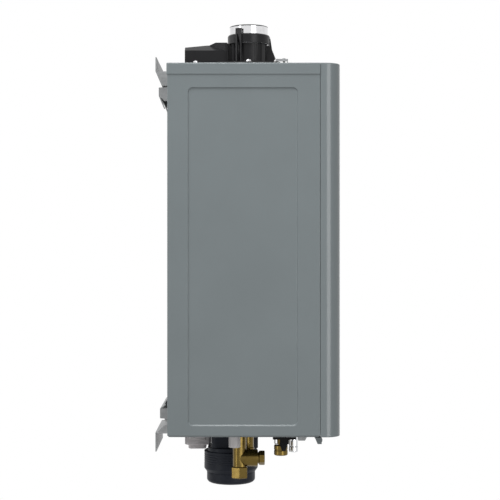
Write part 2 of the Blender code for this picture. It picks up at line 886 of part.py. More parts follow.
def top_cap():
    """The top sheet with skirts over the sides and the back, open where the cover meets it."""
    outer = HALF_WIDTH + SHEET + FIT
    low = (-outer, SEAM_Y + FIT, CASE_TOP - CAP_SKIRT)
    high = (outer, REAR_Y + SHEET + FIT, CASE_TOP)
    cap = pan("top_cap", low, high, ((0, 0, -1), (0, -1, 0)), SHEET, BEND, "case_paint")
    exhaust = round_hole(
        "exhaust_hole", FLUE_BORE, 0, FLUE_Y, CASE_TOP - SHEET, CASE_TOP
    )
    inner = DUCT_HALF_X - DUCT_WALL
    air = box(
        "air_hole",
        (-inner, DUCT_FRONT_Y + DUCT_FLANGE_FRONT + DUCT_WALL, CASE_TOP - SHEET - OVERRUN),
        (inner, DUCT_REAR_Y - DUCT_WALL, CASE_TOP + OVERRUN),
    )
    return cut(cap, exhaust, air)


def bottom_plate():
    """The bottom tray, tucked inside the side and rear sheets, with a hole for each fitting."""
    inner = HALF_WIDTH - 2 * SHEET - 2 * FIT
    low = (-inner, SEAM_Y + SHEET + 2 * FIT, CASE_BOTTOM)
    high = (inner, REAR_Y - SHEET - FIT, CASE_BOTTOM + BOTTOM_SKIRT)
    tray = pan("bottom_plate", low, high, ((0, 0, 1),), SHEET, BEND, "case_paint")
    neck = rounded_rectangle(
        (-PUMP_NECK_HALF_X - FIT, PUMP_Y - PUMP_NECK_FRONT - FIT),
        (PUMP_NECK_HALF_X + FIT, PUMP_Y + PUMP_NECK_REAR + FIT),
        PUMP_NECK_CORNER + FIT,
    )
    middle = CASE_BOTTOM + SHEET / 2
    pump_hole = plate("pump_hole", neck, SHEET + 2 * OVERRUN, (0, 0, middle))
    round_holes = (
        ("tee_hole", TEE_X, TEE_Y, TEE_RADIUS, MEDIUM_STEPS),
        ("outlet_hole", OUTLET_X, OUTLET_Y, OUTLET_RADIUS, MEDIUM_STEPS),
        ("spigot_hole", SPIGOT_X, SPIGOT_Y, SPIGOT_RADIUS, SMALL_STEPS),
        ("gas_hole", GAS_X, GAS_Y, GAS_PIPE_RADIUS, SMALL_STEPS),
        ("plug_hole", PLUG_X, PLUG_Y, PLUG_NECK, MEDIUM_STEPS),
        ("trap_hole", TRAP_X, (TRAP_REAR_Y + TRAP_FRONT_Y) / 2, TRAP_SPOUT_RADIUS, SMALL_STEPS),
    )
    tools = [pump_hole]
    for name, x, y, radius, steps in round_holes:
        tools.append(round_hole(name, radius + FIT, x, y, CASE_BOTTOM, CASE_BOTTOM + SHEET, steps))
    return cut(tray, gather("bottom_holes", tools))


def front_cover():
    """The bowed front shell with round upright corners and a window for the control panel."""
    arc_y = FRONT_Y + COVER_CORNER
    arc_x = HALF_WIDTH - COVER_CORNER
    outline = [(HALF_WIDTH, SEAM_Y), (-HALF_WIDTH, SEAM_Y)]
    outline += arc((-arc_x, arc_y), COVER_CORNER, 180, 270)
    outline += arc((arc_x, arc_y), COVER_CORNER, 270, 360)
    middle = (CASE_TOP + CASE_BOTTOM) / 2
    cover = plate("front_cover", outline, CASE_HEIGHT, (0, 0, middle), "XY", "case_paint")
    shape = bmesh.new()
    shape.from_mesh(cover.data)
    back = [face for face in shape.faces if face.normal.y > 0.9]
    bmesh.ops.delete(shape, geom=back, context="FACES")
    shape.to_mesh(cover.data)
    shape.free()
    round_edges(cover, COVER_BEND)
    thicken(cover, SHEET)
    half = (PANEL_WIDTH / 2 - PANEL_LIP + FIT, PANEL_HEIGHT / 2 - PANEL_LIP + FIT)
    window = rounded_rectangle((-half[0], -half[1]), half, PANEL_CORNER - PANEL_LIP + FIT)
    panel_z = CASE_BOTTOM + PANEL_ABOVE
    hole = plate("panel_hole", window, 2 * OVERRUN, (0, FRONT_Y, panel_z), "XZ")
    return cut(cover, hole)


def cover_screw(name, x):
    """The low-headed screw that holds the cover to a lug, its head to the front, as a tool."""
    seat = (x, SEAM_Y - LUG_AHEAD, CASE_BOTTOM - FIT - LUG_DROP / 2)
    profile = [
        (0, COVER_SCREW_HEIGHT),
        (COVER_SCREW_FACE, COVER_SCREW_HEIGHT),
        (COVER_SCREW_RADIUS, COVER_SCREW_HEIGHT / 2),
        (COVER_SCREW_RADIUS, -FIT),
        (COVER_SCREW_SHANK, -FIT),
        (COVER_SCREW_SHANK, -COVER_SCREW_LENGTH),
        (0, -COVER_SCREW_LENGTH),
    ]
    return turned(name, profile, seat, "-Y", None, SMALL_STEPS)


def cover_lug(name, side):
    """A bent lug under the case with a side gusset and the screw that holds the cover."""
    outer = side * (HALF_WIDTH - LUG_INSET)
    inner = outer - side * LUG_WIDTH
    top = CASE_BOTTOM - FIT
    front = SEAM_Y - LUG_AHEAD
    low = top - LUG_DROP
    path = [(SEAM_Y + LUG_BACK, top), (front, top), (front, low)]
    span = (min(inner, outer), max(inner, outer))
    lug = bent_sheet(name, path, SHEET, span, "case_paint", inward=False)
    gusset = [
        (SEAM_Y + LUG_BACK, top),
        (front, top),
        (front, low),
        (front + LUG_FOOT, low),
    ]
    middle = outer - side * SHEET / 2
    fuse(lug, plate(name + "_gusset", gusset, SHEET, (middle, 0, 0), "YZ"))
    return fuse(lug, cover_screw(name + "_screw", (inner + outer) / 2))


# Wall brackets


def with_ears(bracket, name, ear, half_width):
    """A bent plate joined to a flat ear at each end."""
    for side in (LEFT, RIGHT):
        x = side * (half_width - PLATE / 2)
        fuse(bracket, plate(f"{name}_ear_{side}", ear, PLATE, (x, 0, 0), "YZ"))
    return bracket


def with_slots(bracket, name, middle):
    """Two upright slots for the wall screws, cut through a flange."""
    slots = []
    for side in (LEFT, RIGHT):
        x = side * SLOT_SPACING / 2
        corner = (x - SLOT_WIDTH / 2, middle - SLOT_HEIGHT / 2)
        far_corner = (x + SLOT_WIDTH / 2, middle + SLOT_HEIGHT / 2)
        outline = rounded_rectangle(corner, far_corner, SLOT_WIDTH / 2 - FIT, 4)
        slots.append(plate(f"{name}_slot_{side}", outline, 2 * OVERRUN, (0, 0, 0), "XZ"))
    return cut(bracket, gather(name + "_slots", slots))


def upper_wall_bracket():
    """The upper bracket: a wall flange, a slanted web, side ears and a foot on the rear panel."""
    foot_y = REAR_Y + FIT + PLATE
    top = FLANGE_HEIGHT / 2
    web_low = -top - UPPER_WEB_DROP
    path = [
        (0, top),
        (0, -top),
        (-UPPER_WEB_OUT, web_low),
        (foot_y, web_low),
        (foot_y, web_low - BRACKET_FOOT),
    ]
    half = BRACKET_WIDTH / 2
    bracket = bent_sheet("upper_wall_bracket", path, PLATE, (-half, half), "galvanised_steel")
    ear_back = REAR_Y + SHEET + 2 * FIT
    ear = [
        (-PLATE / 2, -top),
        (-UPPER_WEB_OUT - PLATE / 2, web_low - PLATE / 2),
        (ear_back, web_low - PLATE / 2),
        (ear_back, -top),
    ]
    with_ears(bracket, "upper_bracket", ear, half)
    return with_slots(bracket, "upper_bracket", 0)


def lip_gap(name, near_y, low, high):
    """A cutter that leaves only two end prongs of a hook's lip."""
    reach = HOOK_WIDTH / 2 - HOOK_PRONG
    return box(name, (-reach, near_y - HOOK_LIP_IN - OVERRUN, low), (reach, near_y + OVERRUN, high))


def upper_hanger_hook():
    """The hook under the upper bracket: a top web, a face and two prongs slanting back, with side ears."""
    foot_y = REAR_Y + 2 * FIT + PLATE
    top = CASE_TOP - HOOK_TOP_DROP
    root = top + HOOK_RISE - PLATE
    low = top - HOOK_FACE
    path = [
        (foot_y, root - HOOK_FOOT),
        (foot_y, root),
        (-HOOK_OUT, top),
        (-HOOK_OUT, low),
        (-HOOK_OUT - HOOK_LIP_IN, low - HOOK_LIP_FALL),
    ]
    half = HOOK_WIDTH / 2
    hook = bent_sheet("upper_hanger_hook", path, PLATE, (-half, half), "galvanised_steel")
    cut(hook, lip_gap("upper_lip_gap", -HOOK_OUT, low - HOOK_LIP_FALL - OVERRUN, low - PLATE))
    ear_back = foot_y + PLATE / 2
    ear = [
        (ear_back, root - PLATE / 2),
        (-HOOK_OUT - PLATE / 2, top - PLATE / 2),
        (-HOOK_OUT - PLATE / 2, low),
        (-HOOK_OUT - HOOK_EAR_IN, top - HOOK_EAR_FALL),
        (ear_back, top - HOOK_EAR_FALL),
    ]
    return with_ears(hook, "upper_hook", ear, half)


def lower_wall_bracket():
    """The lower bracket: a foot on the rear panel, a level web below the case and a wall flange."""
    foot_y = REAR_Y + FIT + PLATE
    web = CASE_BOTTOM - LOWER_WEB_DROP
    path = [
        (foot_y, web + LOWER_FOOT_RISE),
        (foot_y, web),
        (0, web),
        (0, web - LOWER_FLANGE_HEIGHT),
    ]
    half = BRACKET_WIDTH / 2
    bracket = bent_sheet("lower_wall_bracket", path, PLATE, (-half, half), "galvanised_steel")
    ear_back = foot_y - PLATE / 2
    ear = [
        (ear_back, web + LOWER_EAR_HEIGHT),
        (-LOWER_EAR_BACK, web + LOWER_EAR_RISE),
        (-LOWER_EAR_OUT, web + LOWER_EAR_FALL),
        (-LOWER_EAR_OUT, web - PLATE / 2),
        (ear_back, web - PLATE / 2),
    ]
    with_ears(bracket, "lower_bracket", ear, half)
    return with_slots(bracket, "lower_bracket", web - LOWER_FLANGE_HEIGHT / 2 - PLATE)


def lower_hanger_hook():
    """The hook above the lower bracket, the upper hook turned over."""
    foot_y = REAR_Y + FIT
    low = CASE_BOTTOM + LOWER_HOOK_RISE
    root = low - HOOK_RISE + PLATE
    top = low + LOWER_HOOK_FACE
    path = [
        (foot_y, root + HOOK_FOOT),
        (foot_y, root),
        (-LOWER_HOOK_OUT, low),
        (-LOWER_HOOK_OUT, top),
        (-LOWER_HOOK_OUT - HOOK_LIP_IN, top + LOWER_HOOK_FALL),
    ]
    half = HOOK_WIDTH / 2
    hook = bent_sheet("lower_hanger_hook", path, PLATE, (-half, half), "galvanised_steel", inward=False)
    cut(hook, lip_gap("lower_lip_gap", -LOWER_HOOK_OUT, top + PLATE, top + HOOK_LIP_IN + OVERRUN))
    ear_back = foot_y + PLATE / 2
    ear = [
        (ear_back, root + PLATE / 2),
        (ear_back, top),
        (-LOWER_HOOK_OUT - PLATE, top),
        (-LOWER_HOOK_OUT - PLATE / 2, top - HOOK_RISE),
        (-LOWER_HOOK_OUT - PLATE / 2, low + PLATE / 2),
    ]
    return with_ears(hook, "lower_hook", ear, half)


# Control panel


def panel_centre():
    """The height of the control panel's middle."""
    return CASE_BOTTOM + PANEL_ABOVE


def button_places():
    """Where the four buttons stand, as X and Z from the panel's middle."""
    places = []
    for row in (-BUTTON_ROW_STEP, BUTTON_ROW_STEP):
        for column in (0, 1):
            places.append((BUTTON_SIDE + (column - 0.5) * BUTTON_PITCH, row))
    return places


def control_bezel():
    """The moulded panel frame: a lip outside the cover, a body through it, a lens seat and button holes."""
    middle_z = panel_centre()
    half = (PANEL_WIDTH / 2, PANEL_HEIGHT / 2)
    lip_outline = rounded_rectangle((-half[0], -half[1]), half, PANEL_CORNER)
    lip_y = FRONT_Y - FIT - PANEL_PROUD / 2
    bezel = plate(
        "control_bezel",
        lip_outline,
        PANEL_PROUD,
        (0, lip_y, middle_z),
        "XZ",
        "black_plastic",
        (),
        PANEL_PROUD / 3,
    )
    inner = (half[0] - PANEL_LIP, half[1] - PANEL_LIP)
    body_outline = rounded_rectangle((-inner[0], -inner[1]), inner, PANEL_CORNER - PANEL_LIP)
    body_y = FRONT_Y - FIT - PANEL_PROUD / 2 + PANEL_BODY / 2
    fuse(bezel, plate("bezel_body", body_outline, PANEL_BODY, (0, body_y, middle_z), "XZ"))
    back = (inner[0] - PANEL_PROUD, inner[1] - PANEL_PROUD)
    hollow = rounded_rectangle((-back[0], -back[1]), back, PANEL_CORNER - PANEL_LIP - PANEL_PROUD)
    hollow_y = FRONT_Y + 2 * PANEL_PROUD + PANEL_BODY / 2
    tools = [plate("bezel_hollow", hollow, PANEL_BODY, (0, hollow_y, middle_z), "XZ")]
    lens = lens_outline(FIT)
    seat_y = FRONT_Y - FIT - PANEL_PROUD + LENS_SEAT / 2 - OVERRUN / 2
    tools.append(plate("lens_seat", lens, LENS_SEAT + OVERRUN, (0, seat_y, middle_z), "XZ"))
    cut(bezel, *tools)
    holes = []
    radius = BUTTON_RADIUS + BUTTON_CLEARANCE
    for index, (x, z) in enumerate(button_places()):
        place = (x, FRONT_Y, middle_z + z)
        holes.append(cylinder(f"button_hole_{index}", radius, 4 * OVERRUN, place, "Y", None, SMALL_STEPS))
    return cut(bezel, gather("button_holes", holes))


def lens_outline(margin):
    """The display lens outline, let out by a margin."""
    half = (LENS_WIDTH / 2 + margin, LENS_HEIGHT / 2 + margin)
    low = (-LENS_SIDE - half[0], -half[1])
    high = (-LENS_SIDE + half[0], half[1])
    return rounded_rectangle(low, high, LENS_CORNER + margin)


def display_lens():
    """The clear-fronted display set flush in the bezel."""
    front = FRONT_Y - FIT - PANEL_PROUD
    depth = LENS_SEAT - 2 * FIT
    middle = (0, front + depth / 2, panel_centre())
    return plate("display_lens", lens_outline(0), depth, middle, "XZ", "display_lens")


def push_button(name, x, z):
    """A push button: a domed cap proud of the bezel and a flange behind it."""
    face = FRONT_Y - FIT - PANEL_PROUD
    depth = FRONT_Y + 2 * PANEL_PROUD + FIT - face
    flange = BUTTON_RADIUS + BUTTON_FLANGE
    profile = [
        (0, BUTTON_PROUD),
        (BUTTON_FACE, BUTTON_PROUD),
        (BUTTON_RADIUS, BUTTON_PROUD - BUTTON_EDGE),
        (BUTTON_RADIUS, -depth),
        (flange, -depth),
        (flange, -depth - BUTTON_FLANGE_HEIGHT),
        (0, -depth - BUTTON_FLANGE_HEIGHT),
    ]
    place = (x, face, panel_centre() + z)
    return turned(name, profile, place, "-Y", "button_plastic", SMALL_STEPS)


# Flue group


def flue_height(rise):
    """A height above the case top."""
    return CASE_TOP + rise


def plinth_outline(margin=0):
    """The outline of the flue adapter's foot in X and Y."""
    low = (-PLINTH_HALF_X - margin, FLUE_Y - PLINTH_FRONT - margin)
    high = (PLINTH_HALF_X + margin, FLUE_Y + PLINTH_REAR + margin)
    return rounded_rectangle(low, high, PLINTH_CORNER + margin)


def duct_foot_outline():
    """The outline of the intake duct's foot in X and Y."""
    half = DUCT_HALF_X + DUCT_FLANGE
    low = (-half, FLUE_Y + PLINTH_REAR + FIT)
    high = (half, DUCT_REAR_Y + DUCT_WALL)
    return rounded_rectangle(low, high, PLINTH_CORNER / 2)


def top_gasket():
    """The rubber sheet under the flue adapter's and the intake duct's feet, open under each."""
    middle = flue_height(FIT + GASKET / 2)
    gasket = plate("top_gasket", plinth_outline(), GASKET, (0, 0, middle), "XY", "black_rubber")
    half = DUCT_HALF_X + DUCT_FLANGE
    low = (-half, FLUE_Y + PLINTH_REAR - PLINTH_CORNER)
    high = (half, DUCT_REAR_Y + DUCT_WALL)
    tab = rounded_rectangle(low, high, PLINTH_CORNER / 2)
    fuse(gasket, plate("gasket_tab", tab, GASKET, (0, 0, middle)))
    bore = round_hole("gasket_bore", FLUE_BORE + FIT, 0, FLUE_Y, CASE_TOP, flue_height(GASKET))
    inner = DUCT_HALF_X - DUCT_WALL
    window = box(
        "gasket_window",
        (-inner, DUCT_FRONT_Y + DUCT_FLANGE_FRONT + DUCT_WALL, CASE_TOP),
        (inner, DUCT_REAR_Y - DUCT_WALL, flue_height(GASKET + OVERRUN)),
    )
    return cut(gasket, gather("gasket_holes", [bore, window]))


def flue_fin():
    """The flared fin on the front of the flue adapter, as a tool."""
    inner = FLUE_Y - FLUE_RADIUS + COLLAR_ROUND
    collar = FLUE_Y - COLLAR_RADIUS + COLLAR_ROUND / 2
    outline = [
        (inner, flue_height(COLLAR_LOW - COLLAR_ROUND)),
        (collar, flue_height(COLLAR_LOW - COLLAR_ROUND)),
        (collar, flue_height(COLLAR_HIGH - 2 * COLLAR_ROUND)),
        (collar - COLLAR_ROUND, flue_height(COLLAR_HIGH - 3 * COLLAR_ROUND)),
        (FLUE_Y - FIN_MID, flue_height(FIN_MID_RISE)),
        (FLUE_Y - FIN_LOW, flue_height(FIN_LOW_RISE)),
        (FLUE_Y - FIN_FOOT, flue_height(PLINTH_TOP + COLLAR_ROUND)),
        (FLUE_Y - FIN_FOOT, flue_height(PLINTH_TOP - COLLAR_ROUND)),
        (inner, flue_height(PLINTH_TOP - COLLAR_ROUND)),
    ]
    return plate("flue_fin", outline, FIN_THICKNESS, (0, 0, 0), "YZ")


def flue_ribs():
    """Slender upright ribs round the back of the flue adapter's pipe, as one tool."""
    ribs = []
    low = PLINTH_TOP - COLLAR_ROUND
    high = COLLAR_LOW + COLLAR_ROUND
    for index in range(RIB_COUNT):
        angle = math.radians(110 + 140 * index / (RIB_COUNT - 1)) + math.pi / 2
        reach = FLUE_RADIUS + RIB_OUT - OVERRUN / 2
        rib = box(
            f"flue_rib_{index}",
            (-OVERRUN / 2, -RIB_WIDTH / 2, 0),
            (OVERRUN / 2, RIB_WIDTH / 2, high - low),
        )
        centre = Matrix.Translation(
            (reach * math.cos(angle), FLUE_Y + reach * math.sin(angle), flue_height((low + high) / 2))
        )
        rib.matrix_world = centre @ Matrix.Rotation(angle, 4, "Z")
        ribs.append(rib)
    return gather("flue_ribs", ribs)


def flue_web():
    """The upright web at the back of the flue adapter's pipe, below the collar."""
    half = FIN_THICKNESS / 2
    near = FLUE_Y + FLUE_RADIUS - COLLAR_ROUND
    rear = FLUE_Y + COLLAR_RADIUS - FLUE_WEB_SHY
    low = flue_height(PLINTH_TOP - COLLAR_ROUND)
    return box("flue_web", (-half, near, low), (half, rear, flue_height(COLLAR_LOW + COLLAR_ROUND)))


def flue_adapter():
    """The black moulded flue adapter: a foot, a ribbed pipe, a collar, a fin and a bore."""
    low = FIT + GASKET + FIT
    foot = plate(
        "flue_adapter",
        plinth_outline(),
        PLINTH_TOP - low,
        (0, 0, flue_height((PLINTH_TOP + low) / 2)),
        "XY",
        "black_plastic",
        (),
        COLLAR_ROUND / 2,
    )
    holes = []
    for side in (LEFT, RIGHT):
        name = f"flue_screw_hole_{side}"
        holes.append(screw_hole(name, side * FLUE_SCREW_X, FLUE_Y, flue_height(PLINTH_TOP)))
    cut(foot, gather("flue_screw_holes", holes))
    profile = [
        (0, COLLAR_HIGH),
        (COLLAR_RADIUS - COLLAR_ROUND, COLLAR_HIGH),
        (COLLAR_RADIUS, COLLAR_HIGH - COLLAR_ROUND),
        (COLLAR_RADIUS, COLLAR_LOW),
        (FLUE_RADIUS, COLLAR_LOW),
        (FLUE_RADIUS, PLINTH_TOP + FLUE_FOOT_RISE),
        (FLUE_FOOT_RADIUS, PLINTH_TOP),
        (FLUE_FOOT_RADIUS, PLINTH_TOP - OVERRUN),
        (0, PLINTH_TOP - OVERRUN),
    ]
    pipe = turned("flue_pipe_body", profile, (0, FLUE_Y, CASE_TOP))
    fuse(foot, pipe, flue_fin(), flue_web(), flue_ribs())
    seat = SLEEVE_LOW - FIT
    socket = SLEEVE_RADIUS + SLEEVE_BEAD + FIT
    bore_profile = [
        (0, COLLAR_HIGH + OVERRUN),
        (socket, COLLAR_HIGH + OVERRUN),
        (socket, seat),
        (FLUE_BORE, seat),
        (FLUE_BORE, -OVERRUN),
        (0, -OVERRUN),
    ]
    cut(foot, turned("flue_bore", bore_profile, (0, FLUE_Y, CASE_TOP)))
    return foot


def flue_sleeve():
    """The polished steel sleeve that stands in the collar, with a bead at each end."""
    outer = SLEEVE_RADIUS
    bead = outer + SLEEVE_BEAD
    inner = outer - SLEEVE_WALL
    top_bead = SLEEVE_TOP - SLEEVE_BEAD_HEIGHT
    low_bead = SLEEVE_LOW + SLEEVE_BEAD_HEIGHT
    profile = [
        (outer, SLEEVE_TOP),
        (outer + SLEEVE_BEAD / 2, SLEEVE_TOP - SLEEVE_BEAD_HEIGHT / 2),
        (outer, top_bead),
        (outer, low_bead),
        (bead, low_bead - SLEEVE_BEAD_HEIGHT / 2),
        (bead, SLEEVE_LOW),
        (inner, SLEEVE_LOW),
        (inner, SLEEVE_TOP),
    ]
    place = (0, FLUE_Y, CASE_TOP)
    return turned("flue_sleeve", profile, place, "Z", "polished_steel", ROUND_STEPS, ring=True)


def flue_seal():
    """The rubber lip seal inside the sleeve."""
    outer = SLEEVE_RADIUS - SLEEVE_WALL - FIT
    top = SLEEVE_TOP - SEAL_DROP
    profile = [
        (outer, top),
        (outer, top - SEAL_HEIGHT),
        (outer - SLEEVE_WALL, top - SEAL_HEIGHT),
        (outer - SLEEVE_WALL, top - SEAL_HEIGHT / 2),
        (outer - SEAL_LIP, top - SEAL_LIP_DROP),
        (outer - SLEEVE_WALL, top),
    ]
    place = (0, FLUE_Y, CASE_TOP)
    return turned("flue_seal", profile, place, "Z", "black_rubber", ROUND_STEPS, ring=True)


def flue_latch(name, side):
    """A latch: a forked upright strap outside the collar with a nib over its rim."""
    half = LATCH_WIDTH / 2
    low = PLINTH_TOP + FIT
    outline = [
        (half, LATCH_TOP),
        (-half, LATCH_TOP),
        (-half, low),
        (-LATCH_SLOT_FAR, low),
        (-LATCH_SLOT_FAR, LATCH_SLOT_TOP),
        (-LATCH_SLOT_TIP, LATCH_SLOT_TOP),
        (LATCH_SLOT_NEAR, LATCH_SLOT_BEND),
        (LATCH_SLOT_NEAR, low),
        (half, low),
    ]
    reach = COLLAR_RADIUS + FIT + LATCH_THICKNESS / 2
    angle = math.radians(LATCH_ANGLE_DEGREES)
    direction = Vector((side * math.cos(angle), math.sin(angle), 0))
    across = Vector((-direction.y, direction.x, 0))
    up = Vector((0, 0, 1))
    turn = Matrix((across, up, direction)).transposed()
    centre = Vector((0, FLUE_Y, CASE_TOP)) + direction * reach
    mirrored = [(-side * u, v) for u, v in outline]
    strap = plate(name, mirrored, LATCH_THICKNESS, (0, 0, 0), "XY", "black_plastic")
    strap.matrix_world = Matrix.Translation(centre) @ turn.to_4x4()
    nib_low = COLLAR_HIGH + FIT
    nib_deep = COLLAR_RADIUS - SLEEVE_RADIUS - SLEEVE_BEAD
    nib = box(
        name + "_nib",
        (-half + FIT, nib_low, -nib_deep - LATCH_THICKNESS / 2),
        (half - FIT, nib_low + LATCH_NIB_HEIGHT, LATCH_THICKNESS / 4),
    )
    nib.matrix_world = strap.matrix_world @ nib.matrix_world
    return fuse(strap, nib)


def duct_roof(name, wall):
    """The duct's roof: two long slopes whose ridge falls and widens toward the rear."""
    eave = flue_height(DUCT_EAVE - wall / 2 - FIT)
    rear = DUCT_REAR_Y - wall
    front = DUCT_FRONT_Y + wall
    peak = flue_height(DUCT_PEAK - wall)
    points = []
    for side in (LEFT, RIGHT):
        points += [
            (side * (DUCT_HALF_X - wall), rear, eave),
            (side * (DUCT_HALF_X - wall), front, eave),
            (side * (DUCT_REAR_HALF_X - wall / 2), rear, flue_height(DUCT_REAR_TOP - wall)),
            (side * (DUCT_PEAK_HALF_X - wall / 2), DUCT_PEAK_Y, peak),
            (side * (DUCT_PEAK_HALF_X - wall / 2), front, peak),
        ]
    return hull_solid(name, points)


def duct_neck(name, wall):
    """The duct's neck, which widens and rises toward the flue."""
    low = flue_height(DUCT_EAVE - wall / 2 - OVERRUN)
    tip = DUCT_PEAK_Y - 2 * wall - DUCT_NECK_SHY
    tip_half = DUCT_PEAK_HALF_X - wall - DUCT_NECK_SHY
    tip_top = flue_height(DUCT_PEAK - wall - DUCT_NECK_SHY)
    middle = DUCT_NECK_MID_Y - wall
    wide = DUCT_NECK_WIDE_Y - wall / 2
    front = DUCT_FRONT_Y + wall
    points = []
    for side in (LEFT, RIGHT):
        edge = side * (DUCT_NECK_HALF_X - wall)
        points += [
            (side * tip_half, tip, low),
            (side * tip_half, tip, tip_top),
            (side * (DUCT_NECK_MID_HALF_X - wall), middle, flue_height(DUCT_NECK_TOP - wall)),
            (edge, wide, low),
            (edge, wide, flue_height(DUCT_NECK_SIDE_TOP - wall)),
            (edge, front, low),
            (edge, front, flue_height(DUCT_NECK_SIDE_TOP - wall)),
        ]
    return hull_solid(name, points)


def duct_shape(name, wall, finish=None):
    """The intake duct's outer or inner form: a block, a sloped roof and a neck toward the flue."""
    half = DUCT_HALF_X - wall
    rear = DUCT_REAR_Y - wall
    front = DUCT_FRONT_Y + wall
    low = FIT + GASKET + FIT - (OVERRUN if wall else 0)
    eave = DUCT_EAVE - wall / 2
    body = box(name, (-half, front, flue_height(low)), (half, rear, flue_height(eave)), finish)
    return body, duct_roof(name + "_roof", wall), duct_neck(name + "_neck", wall)


def intake_duct():
    """The air intake duct: a hollow block with a sloped roof, a neck, a foot and its two screws."""
    body, roof, neck = duct_shape("intake_duct", 0, "black_plastic")
    fuse(body, roof, neck)
    low = FIT + GASKET + FIT
    foot = plate(
        "duct_foot",
        duct_foot_outline(),
        PLINTH_TOP - low,
        (0, 0, flue_height((PLINTH_TOP + low) / 2)),
    )
    fuse(body, foot)
    hollow, hollow_roof, hollow_neck = duct_shape("duct_hollow", DUCT_WALL)
    under = box(
        "duct_undercut",
        (-DUCT_HALF_X - OVERRUN, DUCT_FRONT_Y - OVERRUN, CASE_TOP),
        (DUCT_HALF_X + OVERRUN, FLUE_Y + PLINTH_REAR + FIT, flue_height(PLINTH_TOP + FIT)),
    )
    cut(body, under, hollow, hollow_roof, hollow_neck)
    seat = flue_height(PLINTH_TOP - 2 * FIT)
    for side in (LEFT, RIGHT):
        place = (side * DUCT_SCREW_X, DUCT_SCREW_Y, seat)
        fuse(body, pan_head_screw(f"duct_screw_{side}", place, SCREW_HEAD_RADIUS, SCREW_HEAD_HEIGHT, None))
    return body


def flue_clip():
    """The bent steel clip from the case top over the edge of the flue adapter's foot."""
    foot = flue_height(FIT + SHEET)
    top = flue_height(CLIP_RISE)
    near = FLUE_Y - CLIP_NEAR
    far = FLUE_Y - CLIP_FAR
    path = [
        (near, flue_height(PLINTH_TOP + FIT)),
        (near, top),
        (far, top),
        (far, foot),
        (far - CLIP_TOE, foot),
    ]
    span = (CLIP_X - CLIP_WIDTH / 2, CLIP_X + CLIP_WIDTH / 2)
    clip = bent_sheet("flue_clip", path, SHEET, span, "galvanised_steel", inward=False)
    lip_top = top - SHEET / 2
    lip = box("clip_lip", (span[0], far, lip_top - CLIP_LIP), (span[0] + SHEET, near, lip_top))
    fuse(clip, lip)
    screw_y = FLUE_Y - CLIP_SCREW_OUT
    return cut(clip, round_hole("clip_hole", SCREW_SHANK + FIT, CLIP_X, screw_y, top, top, SMALL_STEPS))


# Circulation pump


def below(drop):
    """A height below the case bottom."""
    return CASE_BOTTOM - drop


def pump_volute():
    """The pump's upper housing: a neck through the bottom plate, a round flange, ports and a chamber."""
    neck = rounded_rectangle(
        (-PUMP_NECK_HALF_X, PUMP_Y - PUMP_NECK_FRONT),
        (PUMP_NECK_HALF_X, PUMP_Y + PUMP_NECK_REAR),
        PUMP_NECK_CORNER,
    )
    height = PUMP_NECK_RISE + PUMP_NECK_DROP + FIT
    middle = CASE_BOTTOM + (PUMP_NECK_RISE - PUMP_NECK_DROP) / 2 - FIT / 2
    volute = plate("pump_volute", neck, height, (0, 0, middle), "XY", "pump_plastic", (), COLLAR_ROUND / 2)
    flange_height = PUMP_FLANGE_DROP - PUMP_NECK_DROP
    flange_outline = rounded_rectangle(
        (-PUMP_FLANGE_HALF_X, PUMP_Y - PUMP_FLANGE_HALF_Y),
        (PUMP_FLANGE_HALF_X, PUMP_Y + PUMP_FLANGE_HALF_Y),
        PUMP_FLANGE_CORNER,
        2 * ARC_STEPS,
    )
    flange_middle = below(PUMP_NECK_DROP + flange_height / 2)
    flange = plate("pump_flange", flange_outline, flange_height, (0, 0, flange_middle))
    fuse(volute, flange)
    chamber = cylinder(
        "pump_chamber",
        PUMP_CHAMBER_RADIUS,
        PUMP_CHAMBER_HEIGHT + OVERRUN,
        (0, PUMP_Y, below(PUMP_FLANGE_DROP - PUMP_CHAMBER_HEIGHT / 2 + OVERRUN / 2)),
    )
    port = cylinder(
        "pump_port",
        PUMP_PORT_RADIUS,
        PUMP_NECK_RISE + PUMP_FLANGE_DROP + OVERRUN,
        (0, PUMP_Y, CASE_BOTTOM + (PUMP_NECK_RISE - PUMP_FLANGE_DROP + OVERRUN) / 2),
        "Z",
        None,
        SMALL_STEPS,
    )
    return cut(volute, chamber, port)


def pump_motor():
    """The wide grooved motor shell below the volute, with a shaft hole."""
    top = PUMP_FLANGE_DROP + FIT
    radius = PUMP_BODY_RADIUS
    profile = [(0, -top), (radius - PUMP_BODY_ROUND, -top), (radius, -top - PUMP_BODY_ROUND)]
    for index in range(GROOVE_COUNT):
        start = top + GROOVE_START + index * GROOVE_PITCH
        profile += [(radius, -start), (radius - GROOVE_DEPTH, -start - GROOVE_PITCH / 2)]
    profile.append((radius, -top - GROOVE_START - GROOVE_COUNT * GROOVE_PITCH))
    cap = PUMP_CAP_DROP - FIT / 2
    profile += [(radius, -PUMP_STEP_DROP), (PUMP_CAP_RADIUS, -cap), (0, -cap)]
    motor = turned("pump_motor", profile, (0, PUMP_Y, CASE_BOTTOM), "Z", "pump_plastic")
    hole = cylinder(
        "pump_shaft_hole",
        PUMP_SHAFT_RADIUS + PUMP_SHAFT_CLEARANCE,
        PUMP_SHAFT_HOLE + OVERRUN,
        (0, PUMP_Y, below(top + (PUMP_SHAFT_HOLE - OVERRUN) / 2)),
        "Z",
        None,
        SMALL_STEPS,
    )
    seam_x = -math.sqrt(radius**2 - PUMP_SEAM_Y**2)
    seam = box(
        "pump_seam",
        (seam_x - OVERRUN, PUMP_Y + PUMP_SEAM_Y - PUMP_SEAM_WIDTH / 2, below(cap + OVERRUN)),
        (seam_x + PUMP_SEAM_DEPTH, PUMP_Y + PUMP_SEAM_Y + PUMP_SEAM_WIDTH / 2, below(top - OVERRUN)),
    )
    return cut(motor, hole, seam)


